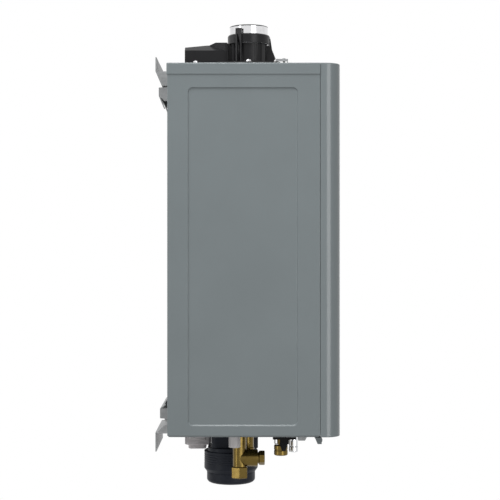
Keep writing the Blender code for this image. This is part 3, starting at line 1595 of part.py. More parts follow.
def pump_end_cap():
    """The round-bottomed cap that closes the motor shell."""
    top = PUMP_CAP_DROP + FIT / 2
    straight = top + PUMP_CAP_STRAIGHT
    profile = [(0, -top), (PUMP_CAP_RADIUS, -top)]
    deep = PUMP_END_DROP - PUMP_END_SAG - straight
    wide = PUMP_CAP_RADIUS - PUMP_END_RADIUS
    for step in range(ARC_STEPS + 1):
        angle = math.radians(90 * step / ARC_STEPS)
        profile.append(
            (PUMP_END_RADIUS + wide * math.cos(angle), -straight - deep * math.sin(angle))
        )
    profile += [(PUMP_END_RADIUS / 2, -PUMP_END_DROP + PUMP_END_SAG / 4), (0, -PUMP_END_DROP)]
    return turned("pump_end_cap", profile, (0, PUMP_Y, CASE_BOTTOM), "Z", "pump_plastic")


def impeller_vane(index):
    """One backward-curved impeller vane as a flat outline about the shaft."""
    turn = 2 * math.pi * index / IMPELLER_VANES
    inner = IMPELLER_EYE
    outer = IMPELLER_RADIUS - FIT
    near = []
    far = []
    for step in range(ARC_STEPS):
        share = step / (ARC_STEPS - 1)
        radius = inner + (outer - inner) * share
        angle = turn - share * math.radians(VANE_SWEEP_DEGREES)
        half = IMPELLER_VANE_WIDTH / 2 / radius
        near.append((radius * math.cos(angle - half), radius * math.sin(angle - half)))
        far.append((radius * math.cos(angle + half), radius * math.sin(angle + half)))
    return near + far[::-1]


def pump_impeller():
    """The pump's impeller on its shaft: a disc with curved vanes above it."""
    disc_top = -PUMP_FLANGE_DROP + IMPELLER_RUN + IMPELLER_DISC
    disc_low = -PUMP_FLANGE_DROP + IMPELLER_RUN
    shaft_low = -PUMP_FLANGE_DROP - PUMP_SHAFT_DEPTH
    profile = [
        (0, disc_top + IMPELLER_DISC),
        (PUMP_SHAFT_RADIUS, disc_top + IMPELLER_DISC / 2),
        (IMPELLER_HUB, disc_top),
        (IMPELLER_RADIUS, disc_top),
        (IMPELLER_RADIUS, disc_low),
        (PUMP_SHAFT_RADIUS, disc_low),
        (PUMP_SHAFT_RADIUS, shaft_low),
        (0, shaft_low),
    ]
    place = (0, PUMP_Y, CASE_BOTTOM)
    impeller = turned("pump_impeller", profile, place, "Z", "white_plastic", MEDIUM_STEPS)
    middle = CASE_BOTTOM + disc_top + (IMPELLER_VANE_HEIGHT - FIT) / 2
    vanes = []
    for index in range(IMPELLER_VANES):
        thickness = IMPELLER_VANE_HEIGHT + FIT
        vanes.append(plate(f"vane_{index}", impeller_vane(index), thickness, (0, PUMP_Y, middle)))
    return fuse(impeller, gather("impeller_vanes", vanes))


# Brass fittings


def hexagon(centre, radius):
    """A six-sided outline with two corners along X."""
    return circle(centre, radius, 6)


def inlet_tee():
    """The brass inlet tee: a barrel up through the plate, a front branch and a hexagon end."""
    hex_low = below(TEE_HEX_LOW)
    hex_middle = CASE_BOTTOM - (TEE_HEX_TOP + TEE_HEX_LOW) / 2
    profile = [
        (0, TEE_RISE),
        (TEE_RADIUS, TEE_RISE),
        (TEE_RADIUS, -TEE_HEX_TOP - OVERRUN),
        (0, -TEE_HEX_TOP - OVERRUN),
    ]
    tee = turned("inlet_tee", profile, (TEE_X, TEE_Y, CASE_BOTTOM), "Z", "brass", MEDIUM_STEPS)
    height = TEE_HEX_LOW - TEE_HEX_TOP
    outline = hexagon((TEE_X, TEE_Y), TEE_HEX_RADIUS)
    hex_end = plate("tee_hexagon", outline, height, (0, 0, hex_middle), "XY", None, (), TEE_HEX_CHAMFER)
    length = TEE_Y - BRANCH_END_Y
    branch_profile = [
        (0, length),
        (BRANCH_RADIUS - TEE_HEX_CHAMFER, length),
        (BRANCH_RADIUS, length - TEE_HEX_CHAMFER),
        (BRANCH_RADIUS, BRANCH_CONE),
        (BRANCH_ROOT, 0),
        (0, 0),
    ]
    place = (TEE_X, TEE_Y, below(BRANCH_DROP))
    branch = turned("tee_branch", branch_profile, place, "-Y", None, MEDIUM_STEPS)
    fuse(tee, branch, hex_end)
    bore = round_hole("tee_bore", TEE_BORE, TEE_X, TEE_Y, hex_low, CASE_BOTTOM + TEE_RISE, SMALL_STEPS)
    side_bore = cylinder(
        "branch_bore",
        BRANCH_BORE,
        BRANCH_DEPTH + OVERRUN,
        (TEE_X, BRANCH_END_Y + (BRANCH_DEPTH - OVERRUN) / 2, below(BRANCH_DROP)),
        "Y",
        None,
        SMALL_STEPS,
    )
    return cut(tee, bore, side_bore)


def strainer_cap():
    """The brass strainer cap: a hexagon head on a round seat, with a plug in the tee's front branch."""
    length = BRANCH_END_Y - STRAINER_END_Y
    root = (length + STRAINER_SEAT) / 2
    profile = [
        (0, root),
        (STRAINER_SEAT_RADIUS, root),
        (STRAINER_SEAT_RADIUS, FIT),
        (STRAINER_PLUG_RADIUS, FIT),
        (STRAINER_PLUG_RADIUS, -STRAINER_PLUG_LENGTH),
        (0, -STRAINER_PLUG_LENGTH),
    ]
    height = below(BRANCH_DROP)
    cap = turned("strainer_cap", profile, (TEE_X, BRANCH_END_Y, height), "-Y", "brass", MEDIUM_STEPS)
    corners = [(TEE_X + across, height + up) for up, across in hexagon((0, 0), STRAINER_RADIUS)]
    place = (0, BRANCH_END_Y - root, 0)
    head = plate("strainer_hexagon", corners, length - STRAINER_SEAT, place, "XZ", None, (), TEE_HEX_CHAMFER)
    return fuse(cap, head)


def hot_outlet():
    """The brass hot outlet through the bottom plate, with a bead at its end."""
    bead = OUTLET_RADIUS + OUTLET_BEAD
    profile = [
        (OUTLET_RADIUS, OUTLET_RISE),
        (OUTLET_RADIUS, -OUTLET_DROP + OUTLET_BEAD_WIDTH),
        (bead, -OUTLET_DROP + OUTLET_BEAD_WIDTH - OUTLET_BEAD),
        (bead, -OUTLET_DROP),
        (OUTLET_BORE, -OUTLET_DROP),
        (OUTLET_BORE, OUTLET_RISE),
    ]
    place = (OUTLET_X, OUTLET_Y, CASE_BOTTOM)
    return turned("hot_outlet", profile, place, "Z", "brass", MEDIUM_STEPS, ring=True)


# Plastic fittings, gas inlet and drain plug


def drain_spigot():
    """The pale drain spigot: a tube through the plate with a thicker end."""
    profile = [
        (SPIGOT_RADIUS, BOTTOM_SKIRT),
        (SPIGOT_RADIUS, -FIT),
        (SPIGOT_COLLAR, -FIT),
        (SPIGOT_COLLAR, -SPIGOT_DROP + SPIGOT_EDGE),
        (SPIGOT_COLLAR - SPIGOT_EDGE, -SPIGOT_DROP),
        (SPIGOT_BORE, -SPIGOT_DROP),
        (SPIGOT_BORE, BOTTOM_SKIRT),
    ]
    place = (SPIGOT_X, SPIGOT_Y, CASE_BOTTOM)
    return turned("drain_spigot", profile, place, "Z", "pale_plastic", SMALL_STEPS, ring=True)


def condensate_trap():
    """The pale condensate trap: an upper and a narrower lower body, a raised pad and a spout above."""
    top = FIT
    near = TRAP_X - TRAP_HALF_X
    far = TRAP_X + TRAP_HALF_X
    height = TRAP_DROP - top
    outline = rounded_rectangle((near, TRAP_FRONT_Y), (far, TRAP_REAR_Y), TRAP_CORNER)
    trap = plate(
        "condensate_trap",
        outline,
        height,
        (0, 0, below(top + height / 2)),
        "XY",
        "pale_plastic",
        (),
        TRAP_CORNER / 4,
    )
    lower_outline = rounded_rectangle(
        (near + TRAP_CORNER, TRAP_FRONT_Y + TRAP_LOWER_FRONT),
        (far - TRAP_CORNER, TRAP_REAR_Y - TRAP_LOWER_REAR),
        TRAP_CORNER,
    )
    lower_height = TRAP_LOWER_DROP - TRAP_DROP + OVERRUN
    lower = plate(
        "trap_lower",
        lower_outline,
        lower_height,
        (0, 0, below(TRAP_LOWER_DROP - lower_height / 2)),
        "XY",
        None,
        (),
        TRAP_CORNER / 3,
    )
    pad = box(
        "trap_pad",
        (near - TRAP_PAD, TRAP_FRONT_Y + TRAP_PAD_INSET, below(TRAP_PAD_LOW)),
        (near + OVERRUN, TRAP_REAR_Y - TRAP_PAD_INSET, below(TRAP_PAD_TOP)),
    )
    middle_y = (TRAP_REAR_Y + TRAP_FRONT_Y) / 2
    spout = cylinder(
        "trap_spout",
        TRAP_SPOUT_RADIUS,
        TRAP_SPOUT_RISE + OVERRUN,
        (TRAP_X, middle_y, CASE_BOTTOM + (TRAP_SPOUT_RISE - OVERRUN) / 2),
        "Z",
        None,
        SMALL_STEPS,
    )
    return fuse(trap, lower, pad, spout)


def gas_grommet():
    """The black gas grommet: a pad under the plate, a round boss and a tongue beside the nut."""
    low = (GAS_X - GROMMET_HALF_X, GAS_Y - GROMMET_FRONT, below(GROMMET_DROP))
    high = (GAS_X + GROMMET_HALF_X, GAS_Y + GROMMET_REAR, below(FIT))
    pad = box("gas_grommet", low, high, "black_rubber")
    boss = cylinder(
        "grommet_boss",
        BOSS_RADIUS,
        BOSS_DROP - GROMMET_DROP + OVERRUN,
        (GAS_X, BOSS_Y, below((BOSS_DROP + GROMMET_DROP - OVERRUN) / 2)),
        "Z",
        None,
        SMALL_STEPS,
    )
    tongue_y = BOSS_Y + TONGUE_LOW_HALF / 3
    tongue = [
        (tongue_y + TONGUE_TOP_HALF, below(GROMMET_DROP - OVERRUN)),
        (tongue_y + TONGUE_TOP_HALF, below(BOSS_DROP)),
        (tongue_y + TONGUE_LOW_HALF, below(TONGUE_DROP)),
        (tongue_y - TONGUE_LOW_HALF, below(TONGUE_DROP)),
        (tongue_y - TONGUE_TOP_HALF, below(BOSS_DROP)),
        (tongue_y - TONGUE_TOP_HALF, below(GROMMET_DROP - OVERRUN)),
    ]
    tongue_x = GAS_X - TONGUE_NEAR_X + TONGUE_THICKNESS / 2
    fuse(pad, boss, plate("grommet_tongue", tongue, TONGUE_THICKNESS, (tongue_x, 0, 0), "YZ"))
    bore = round_hole("grommet_bore", GAS_BORE, GAS_X, GAS_Y, below(BOSS_DROP), CASE_BOTTOM, SMALL_STEPS)
    return cut(pad, bore)


def gas_nut():
    """The brass gas inlet nut at the end of the gas pipe."""
    profile = [
        (GAS_PIPE_RADIUS + FIT, -GAS_NUT_TOP),
        (GAS_NUT_RADIUS - GAS_NUT_ROUND, -GAS_NUT_TOP),
        (GAS_NUT_RADIUS, -GAS_NUT_TOP - GAS_NUT_ROUND),
        (GAS_NUT_RADIUS, -GAS_NUT_LOW + GAS_NUT_ROUND),
        (GAS_NUT_RADIUS - GAS_NUT_ROUND, -GAS_NUT_LOW),
        (GAS_PIPE_RADIUS + FIT, -GAS_NUT_LOW),
    ]
    place = (GAS_X, GAS_Y, CASE_BOTTOM)
    return turned("gas_inlet_nut", profile, place, "Z", "brass", MEDIUM_STEPS, ring=True)


def bleed_tube():
    """The small white tube beside the gas nut, hooked like a J."""
    x = GAS_X - GAS_NUT_RADIUS
    rear = GAS_Y + J_TUBE_REAR
    top = below(GROMMET_DROP + FIT)
    low = below(J_TUBE_DROP)
    route = rounded_route(
        [(x, rear, top), (x, rear, low), (x, rear - J_TUBE_TOE, low - J_TUBE_RADIUS)],
        J_TUBE_RADIUS * 2,
    )
    return tube("bleed_tube", route, J_TUBE_RADIUS, "white_plastic")


def drain_plug():
    """The chrome drain plug through the bottom plate."""
    profile = [
        (0, BOTTOM_SKIRT / 2),
        (PLUG_NECK, BOTTOM_SKIRT / 2),
        (PLUG_NECK, -FIT),
        (PLUG_RADIUS, -FIT),
        (PLUG_RADIUS, -PLUG_DROP + PLUG_ROUND),
        (PLUG_RADIUS - PLUG_ROUND / 2, -PLUG_DROP + PLUG_ROUND / 2),
        (PLUG_RADIUS - PLUG_ROUND, -PLUG_DROP),
        (0, -PLUG_DROP),
    ]
    return turned("drain_plug", profile, (PLUG_X, PLUG_Y, CASE_BOTTOM), "Z", "chrome", MEDIUM_STEPS)


def cable_clip():
    """The low grey cable clip under the front of the bottom plate."""
    top = below(FIT)
    low = below(CABLE_CLIP_DROP)
    front = CABLE_CLIP_REAR_Y - CABLE_CLIP_LENGTH
    path = [
        (CABLE_CLIP_REAR_Y, top),
        (CABLE_CLIP_REAR_Y, low),
        (front + CABLE_CLIP_SLANT, low),
        (front, top),
    ]
    half = CABLE_CLIP_WIDTH / 2
    span = (CABLE_CLIP_X - half, CABLE_CLIP_X + half)
    clip = bent_sheet("cable_clip", path, SHEET, span, "galvanised_steel", inward=False)
    lip = plate("cable_clip_lip", path, SHEET, (span[0] + SHEET / 2, 0, 0), "YZ")
    return fuse(clip, lip)


# Heat exchangers, burner and blower


def down(drop):
    """A height below the case top."""
    return CASE_TOP - drop


def secondary_heat_exchanger():
    """The stainless secondary heat exchanger with the exhaust collar that reaches up into the flue."""
    low = (-HX_HALF_X, HX_FRONT_Y, down(HX_LOW))
    high = (HX_HALF_X, HX_REAR_Y, down(HX_TOP))
    body = box("secondary_heat_exchanger", low, high, "stainless_steel")
    round_edges(body, HX_EDGE)
    outer = FLUE_BORE - FIT
    reach = FIT + GASKET + EXHAUST_REACH
    length = HX_TOP + reach
    middle = CASE_TOP + reach - (length + OVERRUN) / 2
    collar = cylinder("exhaust_collar", outer, length + OVERRUN, (0, FLUE_Y, middle))
    bore_place = (0, FLUE_Y, middle + OVERRUN)
    bore = cylinder("exhaust_bore", outer - EXHAUST_WALL, length + OVERRUN, bore_place)
    fuse(body, collar)
    return cut(body, bore)


def exchanger_bracket():
    """The bent bracket that holds the secondary heat exchanger to the rear panel."""
    wall = REAR_Y - SHEET - FIT
    seat = down(HX_LOW) - FIT
    path = [
        (wall, seat - HX_BRACKET_LIP),
        (wall, seat),
        (HX_REAR_Y - HX_BRACKET_LIP, seat),
    ]
    half = HX_BRACKET_WIDTH
    return bent_sheet("exchanger_bracket", path, SHEET, (-half, half), "galvanised_steel", inward=False)


def primary_heat_exchanger():
    """The copper primary heat exchanger: a block of fins with return bends on its left side."""
    top = down(HX_LOW + FIT)
    low = (-CORE_HALF_X, CORE_FRONT_Y, top - CORE_HEIGHT)
    high = (CORE_HALF_X, CORE_REAR_Y, top)
    core = box("primary_heat_exchanger", low, high, "copper")
    slots = []
    for index in range(CORE_FIN_SLOTS):
        x = (index - (CORE_FIN_SLOTS - 1) / 2) * FIN_PITCH
        slot_low = (x - FIN_SLOT / 2, CORE_FRONT_Y - OVERRUN, top - CORE_BASE - CORE_FIN_DEPTH)
        slot_high = (x + FIN_SLOT / 2, CORE_FRONT_Y + CORE_FIN_DEPTH, top - CORE_BASE)
        slots.append(box(f"fin_slot_{index}", slot_low, slot_high))
    bends = []
    start_y = (CORE_REAR_Y + CORE_FRONT_Y) / 2 - BEND_PITCH * (BEND_COUNT - 1) / 2
    for index in range(BEND_COUNT):
        y = start_y + index * BEND_PITCH
        z = top - CORE_HEIGHT / 2
        centre_x = -CORE_HALF_X + OVERRUN
        half_turn = arc((0, 0), BEND_RADIUS, 90, 270, ARC_STEPS + 2)
        route = [(centre_x + OVERRUN, y + BEND_RADIUS, z)]
        route += [(centre_x - OVERRUN + u, y + v, z) for u, v in half_turn]
        route += [(centre_x + OVERRUN, y - BEND_RADIUS, z)]
        bends.append(tube(f"return_bend_{index}", route, BEND_TUBE_RADIUS))
    cut(core, gather("fin_slots", slots))
    return fuse(core, gather("return_bends", bends))


def core_low():
    """The height of the primary heat exchanger's underside."""
    return down(HX_LOW + FIT) - CORE_HEIGHT


def burner_box():
    """The steel burner box under the primary heat exchanger, with a sight window frame."""
    top = core_low() - FIT
    low = (-CORE_HALF_X, CORE_FRONT_Y, top - BURNER_HEIGHT)
    high = (CORE_HALF_X, CORE_REAR_Y, top)
    body = box("burner_box", low, high, "stainless_steel")
    round_edges(body, BURNER_EDGE)
    sight = cylinder(
        "sight_recess",
        SIGHT_RADIUS,
        2 * SIGHT_DEPTH,
        (-IGNITER_X, CORE_FRONT_Y, top - IGNITER_DROP),
        "Y",
        None,
        SMALL_STEPS,
    )
    hole = cylinder(
        "igniter_hole",
        IGNITER_RADIUS + FIT,
        2 * (IGNITER_IN + FIT),
        (IGNITER_X, CORE_FRONT_Y, top - IGNITER_DROP),
        "Y",
        None,
        SMALL_STEPS,
    )
    return cut(body, gather("burner_recesses", [sight, hole]))


def igniter():
    """The igniter: a ceramic body through the burner box wall with a steel flange."""
    top = core_low() - FIT
    profile = [
        (0, IGNITER_OUT),
        (IGNITER_RADIUS / 2, IGNITER_OUT),
        (IGNITER_RADIUS / 2, IGNITER_OUT / 2),
        (IGNITER_RADIUS, IGNITER_OUT / 2),
        (IGNITER_RADIUS, IGNITER_FLANGE_THICKNESS + FIT),
        (IGNITER_FLANGE, IGNITER_FLANGE_THICKNESS + FIT),
        (IGNITER_FLANGE, FIT),
        (IGNITER_RADIUS, FIT),
        (IGNITER_RADIUS, -IGNITER_IN),
        (0, -IGNITER_IN),
    ]
    place = (IGNITER_X, CORE_FRONT_Y, top - IGNITER_DROP)
    return turned("igniter", profile, place, "-Y", "white_plastic", SMALL_STEPS)


def gas_manifold():
    """The gas manifold: a bar with a nozzle to each burner, fed by a pipe up from the gas valve."""
    y = CORE_FRONT_Y - MANIFOLD_OUT
    z = core_low() - FIT - MANIFOLD_DROP
    bar = cylinder(
        "gas_manifold", MANIFOLD_RADIUS, 2 * MANIFOLD_HALF_X, (0, y, z), "X", "cast_aluminium", SMALL_STEPS
    )
    nozzles = []
    length = MANIFOLD_OUT - FIT
    for index in range(NOZZLE_COUNT):
        x = (index - (NOZZLE_COUNT - 1) / 2) * NOZZLE_PITCH
        place = (x, y + length / 2, z)
        nozzles.append(cylinder(f"nozzle_{index}", NOZZLE_RADIUS, length, place, "Y", None, NOZZLE_STEPS))
    low = CASE_BOTTOM + VALVE_RISE + VALVE_HEIGHT + FIT
    start_y = GAS_Y + VALVE_HALF_Y / 2
    corners = [
        (GAS_X, start_y, low),
        (GAS_X, start_y, z - 2 * PIPE_BEND),
        (GAS_X, y, z),
        (OVERRUN - MANIFOLD_HALF_X, y, z),
    ]
    feed = tube("manifold_feed", rounded_route(corners, FEED_BEND), GAS_PIPE_RADIUS)
    return fuse(bar, gather("nozzles", nozzles), feed)


def blower_centre():
    """The blower wheel's centre height."""
    return core_low() - 2 * FIT - BURNER_HEIGHT - BLOWER_DROP


def blower_housing():
    """The blower's scroll: a round drum with an outlet up to the burner box, hollow, open at its inlet."""
    z = blower_centre()
    top = z + BLOWER_DROP
    place = (0, BLOWER_Y, z)
    drum = cylinder("blower_housing", BLOWER_RADIUS, 2 * BLOWER_HALF_X, place, "X", "cast_aluminium")
    outlet_low = BLOWER_Y - BLOWER_RADIUS + BLOWER_WALL / 2
    outlet_high = outlet_low + BLOWER_OUTLET_WIDTH
    outlet = box(
        "blower_outlet",
        (-BLOWER_HALF_X, outlet_low, z),
        (BLOWER_HALF_X, outlet_high, top),
    )
    fuse(drum, outlet)
    inner_x = BLOWER_HALF_X - BLOWER_WALL
    hollow_profile = [
        (0, BLOWER_HALF_X + OVERRUN),
        (MOTOR_SHAFT + FIT, BLOWER_HALF_X + OVERRUN),
        (MOTOR_SHAFT + FIT, inner_x),
        (BLOWER_RADIUS - BLOWER_WALL, inner_x),
        (BLOWER_RADIUS - BLOWER_WALL, -inner_x),
        (BLOWER_INLET_RADIUS, -inner_x),
        (BLOWER_INLET_RADIUS, -BLOWER_HALF_X - OVERRUN),
        (0, -BLOWER_HALF_X - OVERRUN),
    ]
    hollow = turned("blower_hollow", hollow_profile, place, "X")
    passage = box(
        "outlet_passage",
        (-inner_x, outlet_low + BLOWER_WALL, z),
        (inner_x, outlet_high - BLOWER_WALL, top + OVERRUN),
    )
    return cut(drum, hollow, passage)


def blower_wheel():
    """The squirrel-cage blower wheel: a back plate, a ring of blades, a rim and a hub on the shaft."""
    half = WHEEL_HALF_X
    inner = WHEEL_RADIUS - WHEEL_RING
    profile = [
        (WHEEL_BORE, half),
        (WHEEL_RADIUS, half),
        (WHEEL_RADIUS, -half),
        (inner, -half),
        (inner, half - WHEEL_PLATE),
        (WHEEL_HUB_RADIUS, half - WHEEL_PLATE),
        (WHEEL_HUB_RADIUS, half - WHEEL_HUB_LENGTH),
        (WHEEL_BORE, half - WHEEL_HUB_LENGTH),
    ]
    place = (0, BLOWER_Y, blower_centre())
    wheel = turned("blower_wheel", profile, place, "X", "black_plastic", ROUND_STEPS, ring=True)
    slots = []
    for index in range(WHEEL_SLOTS):
        angle = 2 * math.pi * index / WHEEL_SLOTS
        slot = box(
            f"wheel_slot_{index}",
            (-half + WHEEL_RIM, inner - OVERRUN / 2, -WHEEL_SLOT_WIDTH / 2),
            (half - WHEEL_PLATE - WHEEL_RIM / 2, WHEEL_RADIUS + OVERRUN / 2, WHEEL_SLOT_WIDTH / 2),
        )
        turn = Matrix.Rotation(angle, 4, "X")
        slot.matrix_world = Matrix.Translation(place) @ turn @ slot.matrix_world
        slots.append(slot)
    return cut(wheel, gather("wheel_slots", slots))


def blower_motor():
    """The blower motor on the housing's right side, with its shaft through the wall."""
    start = BLOWER_HALF_X + FIT
    end = start + BLOWER_MOTOR_LENGTH
    shaft_end = WHEEL_HALF_X - WHEEL_HUB_LENGTH
    edge = BLOWER_MOTOR_ROUND
    profile = [
        (0, end),
        (BLOWER_MOTOR_RADIUS - edge, end),
        (BLOWER_MOTOR_RADIUS, end - edge),
        (BLOWER_MOTOR_RADIUS, start + edge),
        (BLOWER_MOTOR_RADIUS - edge, start),
        (MOTOR_SHAFT, start),
        (MOTOR_SHAFT, shaft_end),
        (0, shaft_end),
    ]
    place = (0, BLOWER_Y, blower_centre())
    return turned("blower_motor", profile, place, "X", "cast_aluminium", MEDIUM_STEPS)


# Gas valve, pipes, flow sensor, drain hose and control box


def gas_valve():
    """The gas valve block above the gas inlet, with two solenoids on its front."""
    low_z = CASE_BOTTOM + VALVE_RISE
    low = (GAS_X - VALVE_HALF_X, GAS_Y - VALVE_HALF_Y, low_z)
    high = (GAS_X + VALVE_HALF_X, GAS_Y + VALVE_HALF_Y, low_z + VALVE_HEIGHT)
    block = box("gas_valve", low, high, "cast_aluminium")
    round_edges(block, VALVE_EDGE)
    solenoids = []
    for index, step in enumerate((-0.5, 0.5)):
        z = low_z + VALVE_HEIGHT / 2 + step * SOLENOID_SPACING
        y = low[1] - SOLENOID_LENGTH / 2 + OVERRUN / 2
        length = SOLENOID_LENGTH + OVERRUN
        name = f"solenoid_{index}"
        solenoids.append(cylinder(name, SOLENOID_RADIUS, length, (GAS_X, y, z), "Y", None, SMALL_STEPS))
    return fuse(block, gather("solenoids", solenoids))


def gas_inlet_pipe():
    """The gas pipe from the nut up to the valve."""
    low = below(GAS_NUT_LOW)
    high = CASE_BOTTOM + VALVE_RISE - FIT
    middle = (GAS_X, GAS_Y, (low + high) / 2)
    pipe = cylinder(
        "gas_inlet_pipe", GAS_PIPE_RADIUS, high - low, middle, "Z", "brass", SMALL_STEPS
    )
    bore = cylinder(
        "gas_pipe_bore",
        GAS_PIPE_RADIUS - SHEET,
        GAS_NUT_LOW + OVERRUN,
        (GAS_X, GAS_Y, below((GAS_NUT_LOW + OVERRUN) / 2)),
        "Z",
        None,
        SMALL_STEPS,
    )
    return cut(pipe, bore)


def sensor_low():
    """The height of the flow sensor's underside."""
    return CASE_BOTTOM + SENSOR_RISE


def flow_sensor():
    """The flow sensor on the cold pipe: a tail, a body, a sensing head and a spider for the turbine."""
    low = sensor_low()
    high = low + SENSOR_LENGTH
    foot = CASE_BOTTOM + TEE_RISE + FIT
    bore = PIPE_RADIUS - SHEET
    profile = [
        (SENSOR_RADIUS, high),
        (SENSOR_RADIUS, low),
        (PIPE_RADIUS, low),
        (PIPE_RADIUS, foot + PIPE_COLLAR),
        (TEE_RADIUS, foot + PIPE_COLLAR),
        (TEE_RADIUS, foot),
        (bore, foot),
        (bore, low + PIPE_COLLAR),
        (SENSOR_BORE, low + PIPE_COLLAR),
        (SENSOR_BORE, high),
    ]
    body = turned("flow_sensor", profile, (TEE_X, TEE_Y, 0), "Z", "brass", MEDIUM_STEPS, ring=True)
    middle = low + SENSOR_LENGTH / 2
    head_half = SENSOR_HEAD / 2
    head = box(
        "sensor_head",
        (TEE_X - head_half, TEE_Y - SENSOR_RADIUS - SENSOR_HEAD_OUT, middle - head_half),
        (TEE_X + head_half, TEE_Y - (SENSOR_RADIUS + SENSOR_BORE) / 2, middle + head_half),
    )
    spider_top = middle - TURBINE_LENGTH / 2 - FIT
    reach = (SENSOR_RADIUS + SENSOR_BORE) / 2
    bar = box(
        "sensor_spider",
        (TEE_X - reach, TEE_Y - TURBINE_BLADE, spider_top - TURBINE_HUB),
        (TEE_X + reach, TEE_Y + TURBINE_BLADE, spider_top),
    )
    return fuse(body, gather("sensor_head_and_spider", [head, bar]))


def flow_turbine():
    """The flow sensor's turbine: a hub with twisted blades."""
    middle = sensor_low() + SENSOR_LENGTH / 2
    place = (TEE_X, TEE_Y, middle)
    hub = cylinder("flow_turbine", TURBINE_HUB, TURBINE_LENGTH, place, "Z", "white_plastic", SMALL_STEPS)
    blades = []
    for index in range(TURBINE_BLADES):
        angle = 2 * math.pi * index / TURBINE_BLADES
        blade = box(
            f"turbine_blade_{index}",
            (TURBINE_ROOT, -TURBINE_BLADE / 2, -TURBINE_HALF_CHORD),
            (TURBINE_RADIUS, TURBINE_BLADE / 2, TURBINE_HALF_CHORD),
        )
        twist = Matrix.Rotation(math.radians(TURBINE_TWIST_DEGREES), 4, "X")
        turn = Matrix.Rotation(angle, 4, "Z")
        blade.matrix_world = Matrix.Translation(place) @ turn @ twist @ blade.matrix_world
        blades.append(blade)
    return fuse(hub, gather("turbine_blades", blades))


def cold_riser():
    """The cold pipe from the flow sensor up to the secondary heat exchanger's left side."""
    low = sensor_low() + SENSOR_LENGTH + FIT
    z = down((HX_TOP + HX_LOW) / 2)
    x = -HX_HALF_X - FIT
    far = x - RISER_SIDE
    rear = TEE_Y + RISER_STEP
    corners = [
        (TEE_X, TEE_Y, low),
        (TEE_X, TEE_Y, low + RISER_STEP),
        (far, rear, low + 2 * RISER_STEP),
        (far, rear, z),
        (x, rear, z),
    ]
    return tube("cold_riser", rounded_route(corners, PIPE_BEND), PIPE_RADIUS, "copper")


def hot_pipe():
    """The hot pipe from the primary heat exchanger's right side down to the hot outlet."""
    z = core_low() + CORE_HEIGHT / 2
    x = CORE_HALF_X + FIT
    y = CORE_REAR_Y - PIPE_BEND
    side = x + HOT_SIDE
    high = CASE_BOTTOM + OUTLET_RISE + FIT
    level = CASE_BOTTOM + PUMP_NECK_RISE + HOT_LEVEL
    corners = [
        (x, y, z),
        (side, y, z),
        (side, y, level + PIPE_BEND),
        (OUTLET_X, OUTLET_Y, level),
        (OUTLET_X, OUTLET_Y, high),
    ]
    return tube("hot_pipe", rounded_route(corners, HOT_BEND), PIPE_RADIUS, "copper")


def drain_hose():
    """The drain hose from the secondary heat exchanger down to the condensate trap."""
    top = down(HX_LOW) - FIT
    x = HX_HALF_X - HOSE_RADIUS * 2
    start_y = HX_FRONT_Y + HOSE_SIDE
    trap_y = (TRAP_REAR_Y + TRAP_FRONT_Y) / 2
    end = CASE_BOTTOM + TRAP_SPOUT_RISE + FIT
    corners = [
        (x, start_y, top),
        (x + HOSE_RADIUS, start_y, top - HOSE_RUN),
        (TRAP_X, trap_y, end + HOSE_END),
        (TRAP_X, trap_y, end),
    ]
    return tube("drain_hose", rounded_route(corners, PIPE_BEND), HOSE_RADIUS, "black_rubber")


def control_box():
    """The ribbed control box on the right side panel."""
    outer = HALF_WIDTH - SHEET - RECESS_DEPTH - FIT
    low = (outer - 2 * BOX_HALF_X, BOX_Y - BOX_HALF_Y, CASE_BOTTOM + BOX_LOW)
    high = (outer, BOX_Y + BOX_HALF_Y, CASE_BOTTOM + BOX_HIGH)
    body = box("control_box", low, high, "black_plastic")
    round_edges(body, BOX_EDGE)
    ribs = []
    start = (low[2] + high[2]) / 2 - BOX_RIB_PITCH * (BOX_RIB_COUNT - 1) / 2
    for index in range(BOX_RIB_COUNT):
        z = start + index * BOX_RIB_PITCH
        rib_low = (low[0] + BOX_HALF_X / 2, low[1] - BOX_RIB, z)
        rib_high = (high[0] - BOX_HALF_X / 2, low[1] + BOX_RIB, z + BOX_RIB)
        ribs.append(box(f"box_rib_{index}", rib_low, rib_high))
    return fuse(body, gather("box_ribs", ribs))


def build_case():
    """The sheet case and its lugs."""
    rear_panel()
    side_panel("left_side_panel", LEFT)
    side_panel("right_side_panel", RIGHT)
    top_cap()
    bottom_plate()
    front_cover()
    for name, side in (("left", LEFT), ("right", RIGHT)):
        cover_lug(name + "_cover_lug", side)


def build_brackets():
    """The wall brackets and hooks."""
    upper_wall_bracket()
    upper_hanger_hook()
    lower_wall_bracket()
    lower_hanger_hook()


def build_controls():
    """The control panel."""
    control_bezel()
    display_lens()
    for index, (x, z) in enumerate(button_places()):
        push_button(f"push_button_{index + 1}", x, z)


def build_flue():
    """The flue and intake group on the case top."""
    top_gasket()
    flue_adapter()
    flue_sleeve()
    flue_seal()
    intake_duct()
    flue_clip()
    seat = flue_height(PLINTH_TOP)
    for name, side in (("left", LEFT), ("right", RIGHT)):
        flue_latch(name + "_flue_latch", side)
        place = (side * FLUE_SCREW_X, FLUE_Y, seat)
        pan_head_screw(name + "_flue_screw", place, SCREW_HEAD_RADIUS, SCREW_HEAD_HEIGHT)
    clip_place = (CLIP_X, FLUE_Y - CLIP_SCREW_OUT, flue_height(CLIP_RISE))
    pan_head_screw("flue_clip_screw", clip_place, CLIP_SCREW_RADIUS, CLIP_SCREW_HEIGHT)


def build_underside():
    """The pump and the fittings under the case."""
    pump_volute()
    pump_motor()
    pump_end_cap()
    pump_impeller()
    inlet_tee()
    strainer_cap()
    hot_outlet()
    drain_spigot()
    condensate_trap()
    gas_grommet()
    gas_nut()
    bleed_tube()
    drain_plug()
    cable_clip()


